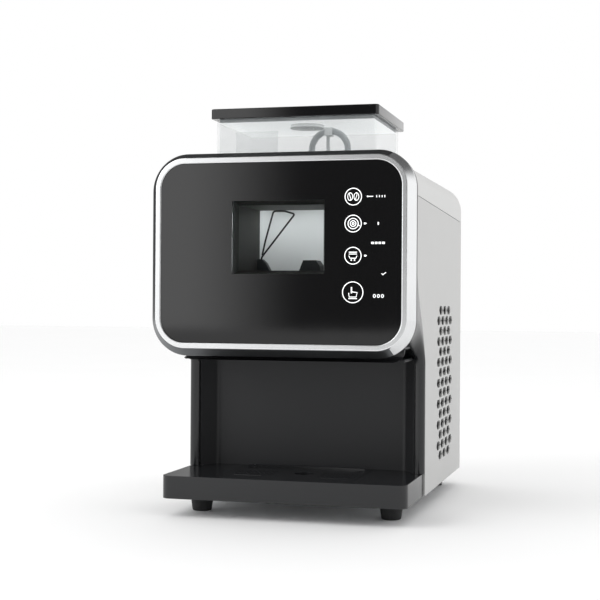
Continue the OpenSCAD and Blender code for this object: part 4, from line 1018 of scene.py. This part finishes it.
class COFFEE_OT_tank(bpy.types.Operator):
    """Water tank's lid, cap, hose stand and tray, and the plate under the lid"""

    bl_idname = "coffee.tank"
    bl_label = "Water tank"

    def execute(self, context):
        soften("tank_lid", 0.9, "lid", segments=4)
        soften("lid_cap", 0.6, "white")
        soften("hose_stand", 0.35, "white")
        soften("tank_tray", 0.6, "abs")
        self.lid_liner()
        return {"FINISHED"}

    def lid_liner(self):
        """White plate under the lid, with a painted glow in place of daylight through the tank."""
        seal_low, seal_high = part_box("lid_seal")
        bm = bmesh.new()
        bmesh.ops.create_cube(bm, size=1)
        bmesh.ops.scale(bm, vec=(seal_high.x - seal_low.x, seal_high.y - seal_low.y, 0.4 * MM),
                        verts=bm.verts)
        bmesh.ops.translate(bm, vec=((seal_low.x + seal_high.x) / 2, (seal_low.y + seal_high.y) / 2,
                                     seal_low.z - 0.25 * MM), verts=bm.verts)
        bmesh.ops.bevel(bm, geom=bm.edges, offset=0.1 * MM, segments=1, affect="EDGES")
        new_piece("lid_liner", mesh_of(bm, "lid_liner"), "glow", "tank_cover")


class COFFEE_OT_chamber(bpy.types.Operator):
    """View chamber: surround, outlet block, wire bracket and bent wire"""

    bl_idname = "coffee.chamber"
    bl_label = "View chamber"

    def execute(self, context):
        soften("window_surround", 0.5, "abs_surround")
        soften("powder_nozzle", 0.6, "abs_black")
        soften("wire_bracket", 0.5, "abs_black")
        self.wire()
        return {"FINISHED"}

    def wire(self):
        """Bent wire that stands in its bracket and leans against the chamber's roof."""
        low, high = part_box("flap_wire")
        r = 1.15 * MM
        y = (low.y + high.y) / 2
        x0, x1 = low.x + r, high.x - r
        bottom, top = low.z + r, high.z - r
        points = [(x0, y, bottom), (x0, y, bottom + 7 * MM), (x1, y, top - 3.8 * MM),
                  (x1 - 13 * MM, y, top), (x1 - 27 * MM, y, top), (x1 - 37 * MM, y, bottom + 28 * MM),
                  (x1 - 41 * MM, y, bottom + 10 * MM)]
        piece = tube_curve("bent_wire", rounded_corners(points, 3 * MM), r, "wire", "machine")
        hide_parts("flap_wire")


class COFFEE_PT_panel(bpy.types.Panel):
    """Lists the values and the operators"""

    bl_label = "Coffee machine"
    bl_idname = "COFFEE_PT_panel"
    bl_space_type = "VIEW_3D"
    bl_region_type = "UI"
    bl_category = "Coffee machine"

    def draw(self, context):
        layout = self.layout
        for group in (context.scene.coffee_colours, context.scene.coffee_sizes,
                      context.scene.coffee_stage):
            for name in group.__annotations__:
                layout.prop(group, name)
        for operator in OPERATORS:
            layout.operator(operator.bl_idname)


OPERATORS = [COFFEE_OT_stage, COFFEE_OT_finishes, COFFEE_OT_fascia, COFFEE_OT_housing, COFFEE_OT_bay,
             COFFEE_OT_platform, COFFEE_OT_case, COFFEE_OT_tank, COFFEE_OT_chamber]
CLASSES = [MachineColours, MachineSizes, StageValues] + OPERATORS + [COFFEE_PT_panel]


def register():
    for item in CLASSES:
        bpy.utils.register_class(item)
    bpy.types.Scene.coffee_colours = bpy.props.PointerProperty(type=MachineColours)
    bpy.types.Scene.coffee_sizes = bpy.props.PointerProperty(type=MachineSizes)
    bpy.types.Scene.coffee_stage = bpy.props.PointerProperty(type=StageValues)


def unregister():
    for name in ("coffee_colours", "coffee_sizes", "coffee_stage"):
        delattr(bpy.types.Scene, name)
    for item in reversed(CLASSES):
        bpy.utils.unregister_class(item)


def main():
    """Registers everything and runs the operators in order."""
    register()
    for operator in OPERATORS:
        group, name = operator.bl_idname.split(".")
        getattr(getattr(bpy.ops, group), name)()


if __name__ == "__main__":
    main()
